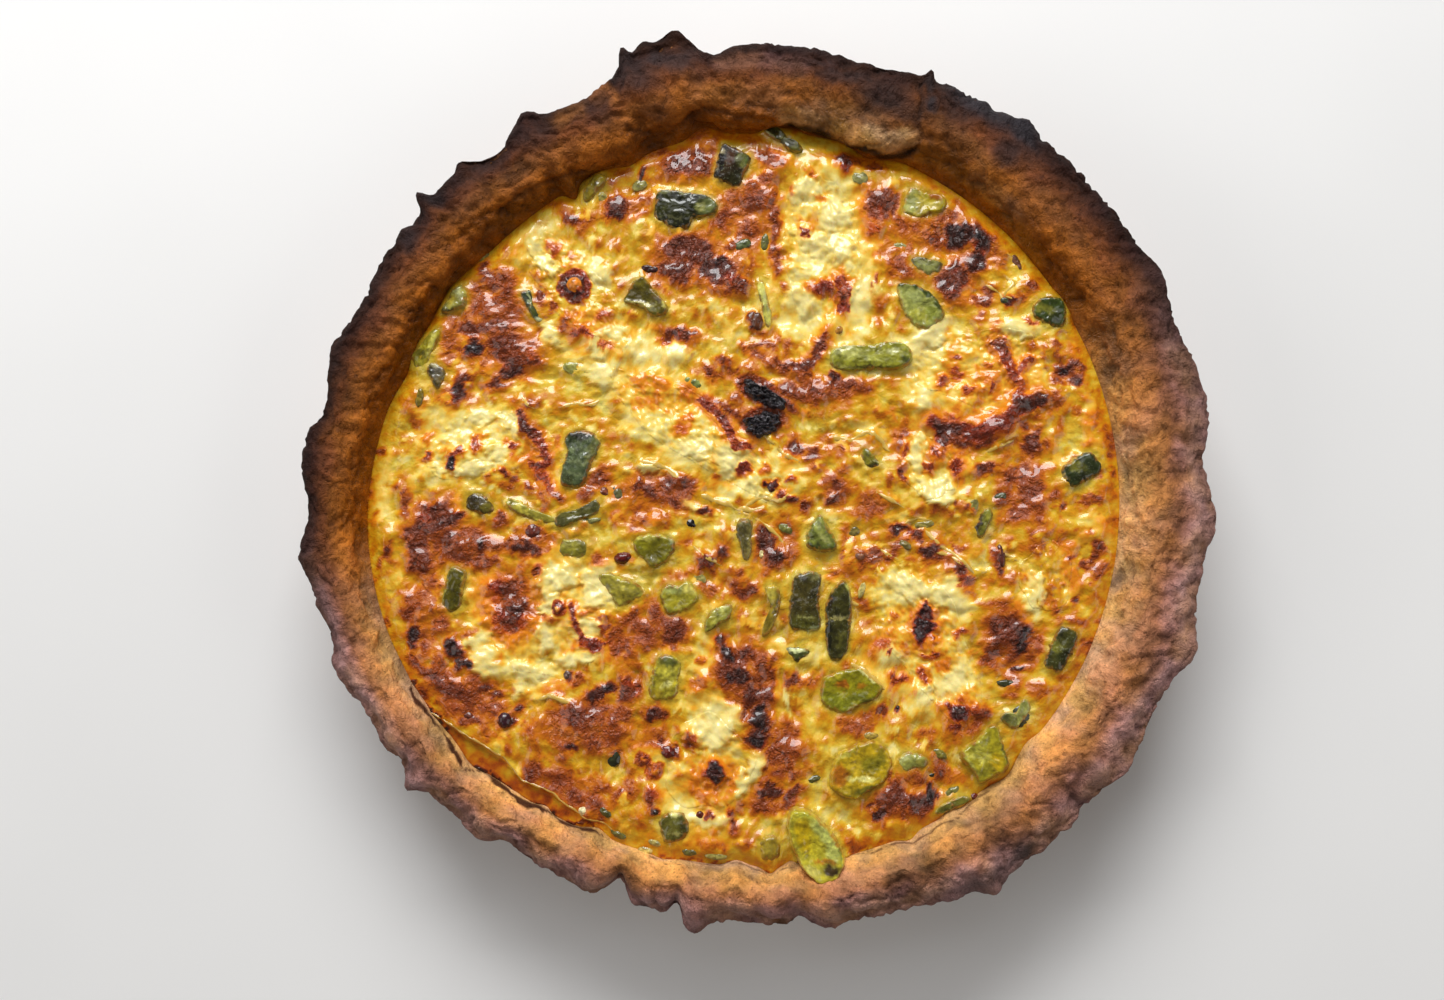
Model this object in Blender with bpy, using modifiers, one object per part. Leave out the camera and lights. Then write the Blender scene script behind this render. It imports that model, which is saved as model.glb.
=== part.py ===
"""A round zucchini tart, 28 cm across, as it comes out of its tin.

One pastry case with a hand-torn flared rim, one custard filling that runs down
to the pastry floor, soft cheese melted into the top of the custard, and chunks
of zucchini sunk in it.  Metres, +Z up, the origin at the middle of the flat
base, +X to the right and -Y towards the eater.
"""
import math

import bmesh
import bpy
from mathutils import Matrix, Vector

for old in list(bpy.data.objects):
    bpy.data.objects.remove(old, do_unlink=True)

MM = 0.001

# ---- driving sizes, in millimetres ------------------------------------------------
STEPS = 120            # segments round the tart
FLOOR_Z = 5.0          # thickness of the pastry floor
FLOOR_R = 102.5        # radius of the floor inside the case
BORDER_R = 118.6       # mean radius where the custard meets the pastry
BORDER_Z = 30.5        # height of the custard's edge
WALL_R = 125.2         # outside of the wall, just under the lip
RIM_R = 139.9          # mean radius of the torn edge
CREST_Z = 41.5         # height of the rounded top of the rim
GAP = 0.50             # clearance between the custard and the pastry
POCKET = 0.40          # clearance round each piece sunk in the custard
CUSTARD_Z = 31.0       # general level of the custard
ARCH = 2.4             # how far a slice's skin arches over its length
SUNK = 4.5             # how deep the slices sit in the custard ...
SUNK_AT_EDGE = 2.2     # ... and how deep near the pastry
EDGE_ZONE = 96.0       # beyond this radius a slice counts as near the pastry
OVER_THE_WALL = "zucchini_33"    # the one slice that lies partly on the pastry

# the outline of the torn edge and of the custard: low harmonics (cos, sin) ...
RIM_WAVES = [(4.4, 5.6), (1.9, 0.0), (-1.2, -1.6), (-0.3, 0.7)]
BORDER_WAVES = [(0.0, 1.8), (1.2, 1.15), (-1.3, -1.2), (0.3, 0.25)]
# ... and named tears, flaps and scallops: angle, half width (degrees), amount (mm)
RIM_LOBES = [
    (52.5, 2.2, 3), (76, 6, -1.8), (93.5, 2, -3), (98.4, 2.4, 6.5), (104.2, 1.8, 8),
    (112.5, 4.5, -4.5), (119.5, 1.8, 3), (124.8, 3, -3.5), (130, 1.8, 3), (136.8, 1.6, 5.5),
    (147, 2, 2.5), (153, 2.4, -2), (160, 2, 3), (167, 2, -3.5), (173, 2.4, 2), (181, 2, -3),
    (188, 2, 3.5), (196, 2.4, -2.5), (203, 2, 2.5), (211, 2, -2.5), (220.7, 2, 4),
    (231.5, 2.2, 2), (236, 2, -2), (248, 2.2, 1.5), (252, 1.9, -6.5), (260.5, 1.7, -4),
    (264, 2, 5), (277.5, 2, -2.8), (281, 1.8, 1.5), (290, 5, -1.8), (302.2, 2, 4),
    (318, 2.2, -2.5), (326, 2, 3), (334, 2.4, -2.5), (342, 2, 3.5), (350, 2.2, -2),
    (358, 2, 3), (6, 2, -3), (14, 2.2, 2.5), (22, 2, -2.5), (30, 2, 3.5), (39, 2.4, -2),
]
BORDER_LOBES = [
    (70, 4, -2.6), (83, 3, 1.8), (96, 3, 3), (109, 4, -1.2), (119, 4, -2.0),
    (143, 5, 1.5), (159, 4, -1.4), (224, 4, 1.8), (246, 4, -1.8), (257, 3, 1),
    (268.5, 3, -1.6), (296, 3, 1.2), (313, 3, 1), (340, 5, -1.4), (10, 5, 1.4),
]

# half profiles (radius, height): the case, from the floor's middle over the rim to
# the base's middle, and the custard, from the middle of its top down to its underside
CASE = [
    (0, FLOOR_Z), (FLOOR_R, FLOOR_Z), (104.5, 6.2), (BORDER_R, BORDER_Z), (122.2, 36.2),
    (127.5, 40.4), (133.2, CREST_Z), (RIM_R, 36.4), (RIM_R - 0.6, 33.8), (131.5, 31.6),
    (WALL_R, 28.6), (109.2, 2.0), (107, 0), (0, 0),
]
CUSTARD = [
    (0, CUSTARD_Z), (98, CUSTARD_Z), (112, CUSTARD_Z - 0.2),
    (BORDER_R - GAP, BORDER_Z - 0.1), (104.5 - GAP, 6.4), (FLOOR_R - GAP, FLOOR_Z + GAP),
    (0, FLOOR_Z + GAP),
]

# ---- what lies in the custard ------------------------------------------------------
# zucchini: name, x, y, length, width, heading (degrees), how far its top stands above
# the custard, tilt along its length.  "skin" lies rind up, "face" shows its cut face.
ZUCCHINI = [
    ("zucchini_01", "skin", -18.5, 95.5, 21.5, 11.5, -7, 3.2, 4),
    ("zucchini_02", "skin", -3.0, 109.5, 13.5, 10.5, -71, 3.6, -5),
    ("zucchini_03", "skin", 11.8, 113.3, 12.0, 5.0, -41, 3.4, 5),
    ("zucchini_04", "face", -31.5, 66.0, 12.5, 11.0, 20, 3.0, 8),
    ("zucchini_05", "skin", -70.0, 64.0, 10.5, 4.0, -60, 2.0, 0),
    ("zucchini_06", "skin", -99.0, 38.8, 8.5, 6.0, -64, 2.6, 0),
    ("zucchini_07", "skin", -100.0, 51.2, 12.0, 6.0, 64, 2.0, 3),
    ("zucchini_08", "skin", -90.8, 65.3, 8.5, 6.0, 40, 2.4, -4),
    ("zucchini_09", "skin", -52.0, 14.0, 18.0, 10.5, 76, 3.0, -3),
    ("zucchini_10", "face", 56.5, 62.0, 15.5, 13.0, -36, 2.4, -4),
    ("zucchini_11", "skin", 40.5, 45.5, 25.5, 8.5, 2, 3.8, 3),
    ("zucchini_12", "face", 57.5, 96.0, 13.5, 9.5, -21, 2.0, 5),
    ("zucchini_13", "skin", 58.5, 75.5, 11.0, 5.0, -16, 1.8, 0),
    ("zucchini_14", "skin", 40.5, 13.5, 7.5, 6.0, -51, 1.8, 0),
    ("zucchini_15", "skin", -85.0, -1.0, 9.0, 6.5, -20, 2.0, 3),
    ("zucchini_16", "skin", -68.5, -3.5, 14.0, 4.0, -12, 1.6, 0),
    ("zucchini_17", "skin", -51.5, -6.5, 12.5, 3.0, 8, 2.2, 0),
    ("zucchini_18", "skin", -54.0, -15.0, 10.0, 7.5, 0, 1.6, 3),
    ("zucchini_19", "face", -28.5, -15.5, 13.5, 11.0, 10, 2.6, -4),
    ("zucchini_20", "skin", -90.0, -27.0, 14.5, 9.5, 76, 2.8, 3),
    ("zucchini_21", "skin", -38.0, -27.5, 10.0, 8.0, -35, 1.4, 0),
    ("zucchini_22", "face", -21.8, -31.0, 11.5, 9.5, 150, 2.4, 4),
    ("zucchini_23", "skin", -9.0, -37.5, 11.5, 7.0, 22, 2.4, -4),
    ("zucchini_24", "skin", -25.0, -57.0, 16.0, 9.5, 72, 2.2, 5),
    ("zucchini_25", "skin", 0.5, -12.0, 15.0, 6.0, -80, 2.4, 0),
    ("zucchini_26", "skin", 7.0, -35.0, 15.5, 5.0, 70, 1.4, 0),
    ("zucchini_27", "skin", 19.2, -31.4, 20.0, 9.3, 85, 2.6, -3),
    ("zucchini_28", "skin", 30.4, -37.0, 28.0, 8.0, 83, 3.2, 2),
    ("zucchini_29", "skin", 16.5, -48.5, 7.5, 5.5, -10, 1.8, 0),
    ("zucchini_30", "skin", 24.0, -10.5, 10.0, 6.0, 75, 2.0, 0),
    ("zucchini_31", "face", 33.6, -61.5, 19.5, 12.5, 15, 2.2, 3),
    ("zucchini_32", "face", 35.0, -84.5, 19.0, 17.0, 25, 3.0, -3),
    ("zucchini_33", "face", 23.4, -107.2, 23.5, 14.0, -66, 5.2, -8),
    ("zucchini_34", "skin", 52.0, -81.5, 9.5, 5.0, -10, 2.2, 0),
    ("zucchini_35", "face", 73.0, -77.9, 16.0, 14.5, -40, 3.4, -3),
    ("zucchini_36", "skin", 83.5, -66.0, 12.0, 7.0, 49, 2.6, 0),
    ("zucchini_37", "skin", 76.0, -6.5, 12.5, 4.5, 79, 2.2, 0),
    ("zucchini_38", "skin", -22.5, -101.5, 10.0, 8.5, 80, 2.4, 0),
    ("zucchini_39", "skin", 8.0, -107.4, 8.0, 6.0, 80, 1.4, 0),
    ("zucchini_40", "skin", 62.3, -93.0, 9.5, 3.5, 22, 1.8, 0),
    ("zucchini_41", "skin", 8.6, 64.5, 14.5, 4.0, -75, 1.8, 0),
    ("zucchini_42", "skin", -48.1, 98.8, 9.8, 5.5, 63, 2.4, 3),
    ("zucchini_43", "skin", 106.0, 9.0, 13.0, 8.5, 30, 2.6, -3),
    ("zucchini_44", "skin", 98.3, -47.0, 15.0, 7.5, 65, 2.6, 3),
    ("zucchini_45", "face", 96.5, 58.0, 12.0, 10.0, -31, 2.2, 0),
]
# melted soft cheese: name, x, y, half length, half width, heading, lobe phase
CHEESE = [
    ("cheese_1", 24.8, 80.5, 27.5, 13.0, 94, 0.4),
    ("cheese_2", -54.0, 68.0, 24.0, 9.3, -49, 1.7),
    ("cheese_3", -15.0, 21.9, 35.0, 9.6, -36, 2.6),
    ("cheese_4", -82.5, 17.3, 22.5, 10.8, 5, 0.9),
    ("cheese_5", 79.5, 40.5, 25.5, 14.0, -9, 3.9),
    ("cheese_6", 58.0, 10.5, 12.0, 8.5, -63, 5.1),
    ("cheese_7", -61.5, -38.5, 22.0, 17.5, -12, 2.2),
    ("cheese_8", -11.5, -82.5, 15.0, 14.5, 90, 1.2),
    ("cheese_9", 57.0, -43.5, 29.5, 12.0, -62, 4.6),
    ("cheese_10", 94.5, -24.5, 11.5, 8.5, 79, 0.2),
]
CHEESE_UP = 1.9        # how far a cheese patch swells above the custard ...
CHEESE_DOWN = 3.0      # ... and how far it sinks into it
CHARRED = [("charred_bit_1", 4.9, 35.0, 6.6, 3.3, -29), ("charred_bit_2", 6.2, 25.4, 6.0, 3.6, 10)]

COLOURS = {            # base colour, roughness
    "crust": ((0.34, 0.16, 0.06), 0.75),
    "custard": ((0.75, 0.45, 0.10), 0.35),
    "cheese": ((0.85, 0.68, 0.32), 0.40),
    "rind": ((0.05, 0.08, 0.03), 0.35),
    "flesh": ((0.32, 0.34, 0.06), 0.35),
    "charred": ((0.04, 0.02, 0.02), 0.50),
}


# ---- helpers ------------------------------------------------------------------------
def ease(a, b, x):
    t = min(1.0, max(0.0, (x - a) / (b - a)))
    return t * t * (3 - 2 * t)


def waves(angle, terms):
    return sum(c * math.cos(k * angle) + s * math.sin(k * angle) for k, (c, s) in enumerate(terms, 1))


def lobes(angle, table):
    total = 0.0
    for at, half, amount in table:
        off = (math.degrees(angle) - at + 180.0) % 360.0 - 180.0
        total += amount * math.exp(-((off / half) ** 2))
    return total


def rim_growth(angle):
    return waves(angle, RIM_WAVES) + lobes(angle, RIM_LOBES)


def border_growth(angle):
    return waves(angle, BORDER_WAVES) + lobes(angle, BORDER_LOBES)


def lip_lift(angle):
    """The torn edge stands up on the far side and droops on the near side."""
    up = ease(-0.2, 0.6, math.sin(angle - math.radians(10)))
    return 4.0 * up - 1.2 * (1 - up) + 0.25 * lobes(angle, RIM_LOBES)


def warped(x, y, z):
    """Carries a turned point to the hand-made outline."""
    r = math.hypot(x, y)
    if r < 1e-6:
        return x, y, z
    a = math.atan2(y, x)
    out = min(1.0, max(0.0, (r - BORDER_R) / (RIM_R - BORDER_R))) ** 1.2
    inner = ease(98.0, BORDER_R, r) * (1 - out)
    grown = r + inner * border_growth(a) + out * rim_growth(a)
    crest = ease(BORDER_R + 1, 127, r)
    rise = out * lip_lift(a) + crest * (1 - out) * (1.1 * math.sin(3 * a + 0.6) + 0.7 * math.sin(7 * a + 2.0))
    return x * grown / r, y * grown / r, z + rise


def collection(name):
    made = bpy.data.collections.new(name)
    bpy.context.scene.collection.children.link(made)
    return made


tart = collection("zucchini_tart")
cutters = collection("pocket_cutters")
wall_cutters = collection("wall_cutters")


def material(name, key):
    made = bpy.data.materials.new(name)
    made.use_nodes = True
    shader = made.node_tree.nodes["Principled BSDF"]
    colour, rough = COLOURS[key]
    shader.inputs["Base Color"].default_value = (*colour, 1)
    shader.inputs["Roughness"].default_value = rough
    shader.inputs["Metallic"].default_value = 0.0
    return made


def add_object(name, mesh, key, where=tart):
    made = bpy.data.objects.new(name, mesh)
    where.objects.link(made)
    if key:
        mesh.materials.append(material(name, key))
    return made


def mesh_from(bm, name):
    bmesh.ops.recalc_face_normals(bm, faces=bm.faces)
    mesh = bpy.data.meshes.new(name)
    bm.to_mesh(mesh)
    bm.free()
    mesh.shade_smooth()
    mesh.set_sharp_from_angle(angle=math.radians(50))
    return mesh


def split_one_way(bm):
    """Splits each quad from its inner early corner to its outer late one, so that two
    turned surfaces a hair apart stay apart after both are bent."""
    for face in [f for f in bm.faces if len(f.verts) == 4]:
        mid = face.calc_center_median()
        at = math.atan2(mid.y, mid.x)
        early, late = [], []
        for v in face.verts:
            turn = (math.atan2(v.co.y, v.co.x) - at + math.pi) % (2 * math.pi) - math.pi
            (early if turn < 0 else late).append(v)
        a = min(early, key=lambda v: v.co.xy.length)
        b = max(late, key=lambda v: v.co.xy.length)
        if not any(b in e.verts for e in a.link_edges):
            bmesh.utils.face_split(face, a, b)


def turned(name, profile, key):
    """A profile turned about Z with a Screw, then carried to the hand-made outline."""
    line = bpy.data.meshes.new(name + "_profile")
    points = [(r * MM, 0, z * MM) for r, z in profile]
    line.from_pydata(points, [(i, i + 1) for i in range(len(points) - 1)], [])
    guide = bpy.data.objects.new(name + "_profile", line)
    tart.objects.link(guide)
    screw = guide.modifiers.new("turn", "SCREW")
    screw.axis = "Z"
    screw.steps = screw.render_steps = STEPS
    screw.use_merge_vertices = True
    screw.merge_threshold = 0.00001
    bpy.context.view_layer.update()
    graph = bpy.context.evaluated_depsgraph_get()
    mesh = bpy.data.meshes.new_from_object(guide.evaluated_get(graph))
    bpy.data.objects.remove(guide)
    bm = bmesh.new()
    bm.from_mesh(mesh)
    bmesh.ops.remove_doubles(bm, verts=bm.verts, dist=0.00001)
    middle = [v for v in bm.verts if v.co.xy.length < 0.00001]
    bmesh.ops.dissolve_verts(bm, verts=middle)
    split_one_way(bm)
    for v in bm.verts:
        v.co = Vector(warped(*(v.co / MM))) * MM
    return add_object(name, mesh_from(bm, name), key)


def cut_away(bm, point, normal):
    """Keeps the side of the plane that the normal points away from, and closes it."""
    geometry = list(bm.verts) + list(bm.edges) + list(bm.faces)
    bmesh.ops.bisect_plane(bm, geom=geometry, plane_co=point, plane_no=normal, clear_outer=True)
    bmesh.ops.holes_fill(bm, edges=[e for e in bm.edges if e.is_boundary])


def slice_mesh(name, kind, length, width, deep, bevel, grow=0.0):
    """A slice of zucchini about its own middle, its top at z = 0.

    skin: a tile with an arched rind on top.  face: a half-moon lying on its face.
    """
    bm = bmesh.new()
    long, wide = length + 2 * grow, width + 2 * grow
    if kind == "skin":
        arch = ARCH * min(1.0, length / 16)
        radius = (length * length / 4 + arch * arch) / (2 * arch)
        segments = max(16, int(2 * math.pi * radius / (length / 5.0)))
        bmesh.ops.create_cone(bm, cap_ends=True, segments=segments, radius1=radius + grow,
                              radius2=radius + grow, depth=wide)
        bmesh.ops.rotate(bm, verts=bm.verts, matrix=Matrix.Rotation(math.radians(90), 3, "X"))
        bmesh.ops.translate(bm, verts=bm.verts, vec=(0, 0, -radius))
        cut_away(bm, (0, 0, -deep - grow), (0, 0, -1))
        cut_away(bm, (long / 2, 0, 0), (1, 0, 0))
        cut_away(bm, (-long / 2, 0, 0), (-1, 0, 0))
    else:
        bmesh.ops.create_cone(bm, cap_ends=True, segments=16, radius1=1, radius2=1, depth=1)
        cut_away(bm, (0, -0.25, 0), (0, -1, 0))
        bmesh.ops.scale(bm, verts=bm.verts, vec=(long / 2, wide / 1.25, deep + 2 * grow))
        bmesh.ops.translate(bm, verts=bm.verts, vec=(0, -0.375 * wide / 1.25, -deep / 2))
    bmesh.ops.remove_doubles(bm, verts=bm.verts, dist=0.001)
    if bevel:
        bmesh.ops.bevel(bm, geom=[e for e in bm.edges if e.calc_face_angle(0) > math.radians(50)],
                        offset=bevel, segments=1, affect="EDGES")
    bmesh.ops.scale(bm, verts=bm.verts, vec=(MM, MM, MM))
    return mesh_from(bm, name)


def lobed(x, y, a, b, phase, lobing, grow):
    """A point of the unit circle carried to a lobed oval outline."""
    t = math.atan2(y, x)
    swell = 1 + lobing * math.sin(3 * t + phase) + 0.6 * lobing * math.sin(5 * t + 2 * phase)
    return (a * swell + grow) * x, (b * swell + grow) * y


def patch_mesh(name, a, b, phase, grow=0.0):
    """A patch of melted cheese: a lobed oval that swells up in the middle."""
    bm = bmesh.new()
    bmesh.ops.create_cone(bm, cap_ends=True, segments=16, radius1=0.95, radius2=1,
                          depth=CHEESE_DOWN + 0.4 + grow)
    bmesh.ops.translate(bm, verts=bm.verts, vec=(0, 0, 0.4 - (CHEESE_DOWN + 0.4 + grow) / 2))
    top = max(bm.faces, key=lambda f: f.calc_center_median().z)
    bmesh.ops.inset_region(bm, faces=[top], thickness=0.36, depth=CHEESE_UP - 0.4)
    for v in bm.verts:
        x, y = lobed(v.co.x, v.co.y, a, b, phase, 0.09, grow)
        v.co = Vector((x, y, v.co.z)) * MM
    return mesh_from(bm, name)


def lump_mesh(name, a, b, half, grow=0.0):
    """A small rounded lump."""
    bm = bmesh.new()
    bmesh.ops.create_uvsphere(bm, u_segments=10, v_segments=6, radius=1)
    for v in bm.verts:
        x, y = lobed(v.co.x, v.co.y, a, b, 1.0, 0.10, grow)
        v.co = Vector((x, y, (half + grow) * v.co.z)) * MM
    return mesh_from(bm, name)


def place(obj, x, y, z, heading, tilt=0.0):
    obj.location = (x * MM, y * MM, z * MM)
    obj.rotation_euler = (0, math.radians(tilt), math.radians(heading))


def as_cutter(obj, reaches_wall):
    obj.hide_render = True
    obj.display_type = "WIRE"
    if reaches_wall:
        wall_cutters.objects.link(obj)


# ---- the pastry case and the custard ------------------------------------------------
crust = turned("crust", CASE, "crust")
filling = turned("filling", CUSTARD, "custard")

# ---- zucchini ------------------------------------------------------------------------
for name, kind, x, y, length, width, heading, proud, tilt in ZUCCHINI:
    top = CUSTARD_Z + proud
    key = "rind" if kind == "skin" else "flesh"
    deep = proud + (SUNK if math.hypot(x, y) < EDGE_ZONE else SUNK_AT_EDGE)
    piece = add_object(name, slice_mesh(name, kind, length, width, deep, 0.8 if length > 17 else 0), key)
    place(piece, x, y, top, heading, tilt)
    pocket = add_object(name + "_pocket", slice_mesh(name + "_pocket", kind, length, width, deep, 0, POCKET), None, cutters)
    place(pocket, x, y, top, heading, tilt)
    as_cutter(pocket, name == OVER_THE_WALL)

# ---- cheese and charred bits ---------------------------------------------------------
for name, x, y, a, b, heading, phase in CHEESE:
    piece = add_object(name, patch_mesh(name, a, b, phase), "cheese")
    place(piece, x, y, CUSTARD_Z, heading)
    pocket = add_object(name + "_pocket", patch_mesh(name + "_pocket", a, b, phase, POCKET + 0.05), None, cutters)
    place(pocket, x, y, CUSTARD_Z, heading)
    as_cutter(pocket, False)
for name, x, y, a, b, heading in CHARRED:
    piece = add_object(name, lump_mesh(name, a, b, 2.8), "charred")
    place(piece, x, y, CUSTARD_Z + 1.2, heading)
    pocket = add_object(name + "_pocket", lump_mesh(name + "_pocket", a, b, 2.8, POCKET + 0.1), None, cutters)
    place(pocket, x, y, CUSTARD_Z + 1.2, heading)
    as_cutter(pocket, False)

for body, tools in ((filling, cutters), (crust, wall_cutters)):
    cut = body.modifiers.new("pockets", "BOOLEAN")
    cut.operation = "DIFFERENCE"
    cut.operand_type = "COLLECTION"
    cut.collection = tools
    cut.solver = "EXACT"
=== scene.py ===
"""Looks of the zucchini tart: torn pastry, browned custard, melted cheese, zucchini.

Everything is worked out in millimetres on the tart's own plane.  Places are given
either in millimetres or in pixels of the 1444 x 1000 frame, which the camera model
below carries onto the tart.
"""
import math

import bpy
import numpy as np
from mathutils import Matrix, Vector


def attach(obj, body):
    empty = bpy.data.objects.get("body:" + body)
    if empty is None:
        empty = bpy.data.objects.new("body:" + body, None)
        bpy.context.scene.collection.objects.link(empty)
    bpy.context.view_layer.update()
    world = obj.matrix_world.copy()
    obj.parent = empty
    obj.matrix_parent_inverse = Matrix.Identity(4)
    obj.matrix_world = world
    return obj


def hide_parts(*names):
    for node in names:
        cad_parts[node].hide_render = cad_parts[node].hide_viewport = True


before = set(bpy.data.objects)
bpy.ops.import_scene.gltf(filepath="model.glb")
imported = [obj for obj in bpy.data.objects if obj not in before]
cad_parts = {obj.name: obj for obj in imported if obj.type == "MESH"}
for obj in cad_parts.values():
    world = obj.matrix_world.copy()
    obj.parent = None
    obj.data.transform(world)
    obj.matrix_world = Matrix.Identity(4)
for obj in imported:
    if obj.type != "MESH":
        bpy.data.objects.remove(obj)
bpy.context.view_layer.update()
MM = 0.001

# =====================================================================================
# the camera: 35 mm lens, 446 mm over the custard, six degrees off the vertical
# =====================================================================================
FOCAL = 35 / 36 * 1444
LOOK_AT_PX = (744.0, 500.0)
DISTANCE = 446.0
TILT, TURN = math.radians(6), math.radians(25)
LEVEL = 31.0

look = np.array([-math.sin(TURN) * math.sin(TILT), math.cos(TURN) * math.sin(TILT), -math.cos(TILT)])
up = np.array([0, 1.0, 0])
up = up - look * (up @ look)
up = up / np.linalg.norm(up)
right = np.cross(look, up)
to_middle = look + right * ((LOOK_AT_PX[0] - 722) / FOCAL) - up * ((LOOK_AT_PX[1] - 500) / FOCAL)
eye = np.array([0, 0, 30.0]) - to_middle * DISTANCE


def px_of(x, y, z=LEVEL):
    """Frame pixels of points given in millimetres."""
    p = np.stack(np.broadcast_arrays(np.asarray(x, float), np.asarray(y, float), np.asarray(z, float)), -1) - eye
    depth = p @ look
    return 722 + FOCAL * (p @ right) / depth, 500 - FOCAL * (p @ up) / depth


def mm_of(u, v, z=LEVEL):
    """The point at height z that the frame shows at (u, v)."""
    ray = look + right * ((u - 722) / FOCAL) - up * ((v - 500) / FOCAL)
    p = eye + ray * ((z - eye[2]) / ray[2])
    return float(p[0]), float(p[1])


cam_data = bpy.data.cameras.new("camera")
cam_data.lens = 35
cam_data.sensor_width = 36
cam_data.sensor_fit = "HORIZONTAL"
cam_data.clip_start = 0.01
camera = bpy.data.objects.new("camera", cam_data)
bpy.context.scene.collection.objects.link(camera)
back = -look
camera.matrix_world = Matrix((
    (right[0], up[0], back[0], eye[0] * MM), (right[1], up[1], back[1], eye[1] * MM),
    (right[2], up[2], back[2], eye[2] * MM), (0, 0, 0, 1)))
bpy.context.scene.camera = camera


# =====================================================================================
# noise, seeded and the same on every run
# =====================================================================================
def hashed(ix, iy, iz, seed):
    h = (ix.astype(np.int64) * 374761393 + iy.astype(np.int64) * 668265263
         + iz.astype(np.int64) * 2147483647 + seed * 974634777) & 0xFFFFFFFF
    h = ((h ^ (h >> 13)) * 1274126177) & 0xFFFFFFFF
    h = ((h ^ (h >> 16)) * 2246822519) & 0xFFFFFFFF
    return h ^ (h >> 15)


def unit_hash(ix, iy, iz, seed):
    return hashed(ix, iy, iz, seed).astype(float) / 4294967295.0


def smooth(a, b, x):
    t = np.clip((x - a) / (b - a), 0, 1)
    return t * t * (3 - 2 * t)


DIRECTIONS = np.array([(1, 1, 0), (-1, 1, 0), (1, -1, 0), (-1, -1, 0), (1, 0, 1), (-1, 0, 1),
                       (1, 0, -1), (-1, 0, -1), (0, 1, 1), (0, -1, 1), (0, 1, -1), (0, -1, -1)], float)


def noise3(x, y, z, seed):
    """Gradient noise, about -1 to 1."""
    x, y, z = np.broadcast_arrays(np.asarray(x, float), np.asarray(y, float), np.asarray(z, float))
    ix, iy, iz = np.floor(x), np.floor(y), np.floor(z)
    fx, fy, fz = x - ix, y - iy, z - iz
    sx, sy, sz = (f * f * f * (f * (f * 6 - 15) + 10) for f in (fx, fy, fz))
    total = np.zeros_like(x)
    for dx in (0, 1):
        for dy in (0, 1):
            for dz in (0, 1):
                g = DIRECTIONS[hashed(ix + dx, iy + dy, iz + dz, seed) % 12]
                dot = g[..., 0] * (fx - dx) + g[..., 1] * (fy - dy) + g[..., 2] * (fz - dz)
                w = (sx if dx else 1 - sx) * (sy if dy else 1 - sy) * (sz if dz else 1 - sz)
                total += w * dot
    return total


def noise2(x, y, seed):
    x, y = np.broadcast_arrays(np.asarray(x, float), np.asarray(y, float))
    ix, iy = np.floor(x), np.floor(y)
    fx, fy = x - ix, y - iy
    sx, sy = (f * f * f * (f * (f * 6 - 15) + 10) for f in (fx, fy))
    total = np.zeros_like(x)
    zero = np.zeros_like(ix)
    for dx in (0, 1):
        for dy in (0, 1):
            a = unit_hash(ix + dx, iy + dy, zero, seed) * 2 * np.pi
            dot = np.cos(a) * (fx - dx) + np.sin(a) * (fy - dy)
            total += (sx if dx else 1 - sx) * (sy if dy else 1 - sy) * dot
    return total * 1.4


def fbm2(x, y, seed, octaves=4, gain=0.5):
    total, amp, norm = 0, 1.0, 0.0
    for k in range(octaves):
        total = total + amp * noise2(x * 2.03 ** k + 7.3 * k, y * 2.03 ** k - 3.1 * k, seed + 31 * k)
        norm += amp
        amp *= gain
    return total / norm


def fbm3(x, y, z, seed, octaves=4, gain=0.5):
    total, amp, norm = 0, 1.0, 0.0
    for k in range(octaves):
        f = 2.03 ** k
        total = total + amp * noise3(x * f + 7.3 * k, y * f - 3.1 * k, z * f + 1.7 * k, seed + 31 * k)
        norm += amp
        amp *= gain
    return total / norm


def cells2(x, y, seed):
    """Distance to the nearest and second nearest scattered point."""
    ix, iy = np.floor(x), np.floor(y)
    zero = np.zeros_like(ix)
    first = np.full_like(x, 9.0)
    second = np.full_like(x, 9.0)
    for dx in (-1, 0, 1):
        for dy in (-1, 0, 1):
            cx = ix + dx + unit_hash(ix + dx, iy + dy, zero, seed)
            cy = iy + dy + unit_hash(ix + dx, iy + dy, zero, seed + 5)
            d = np.hypot(x - cx, y - cy)
            nearer = d < first
            second = np.where(nearer, first, np.minimum(second, d))
            first = np.where(nearer, d, first)
    return first, second


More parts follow.
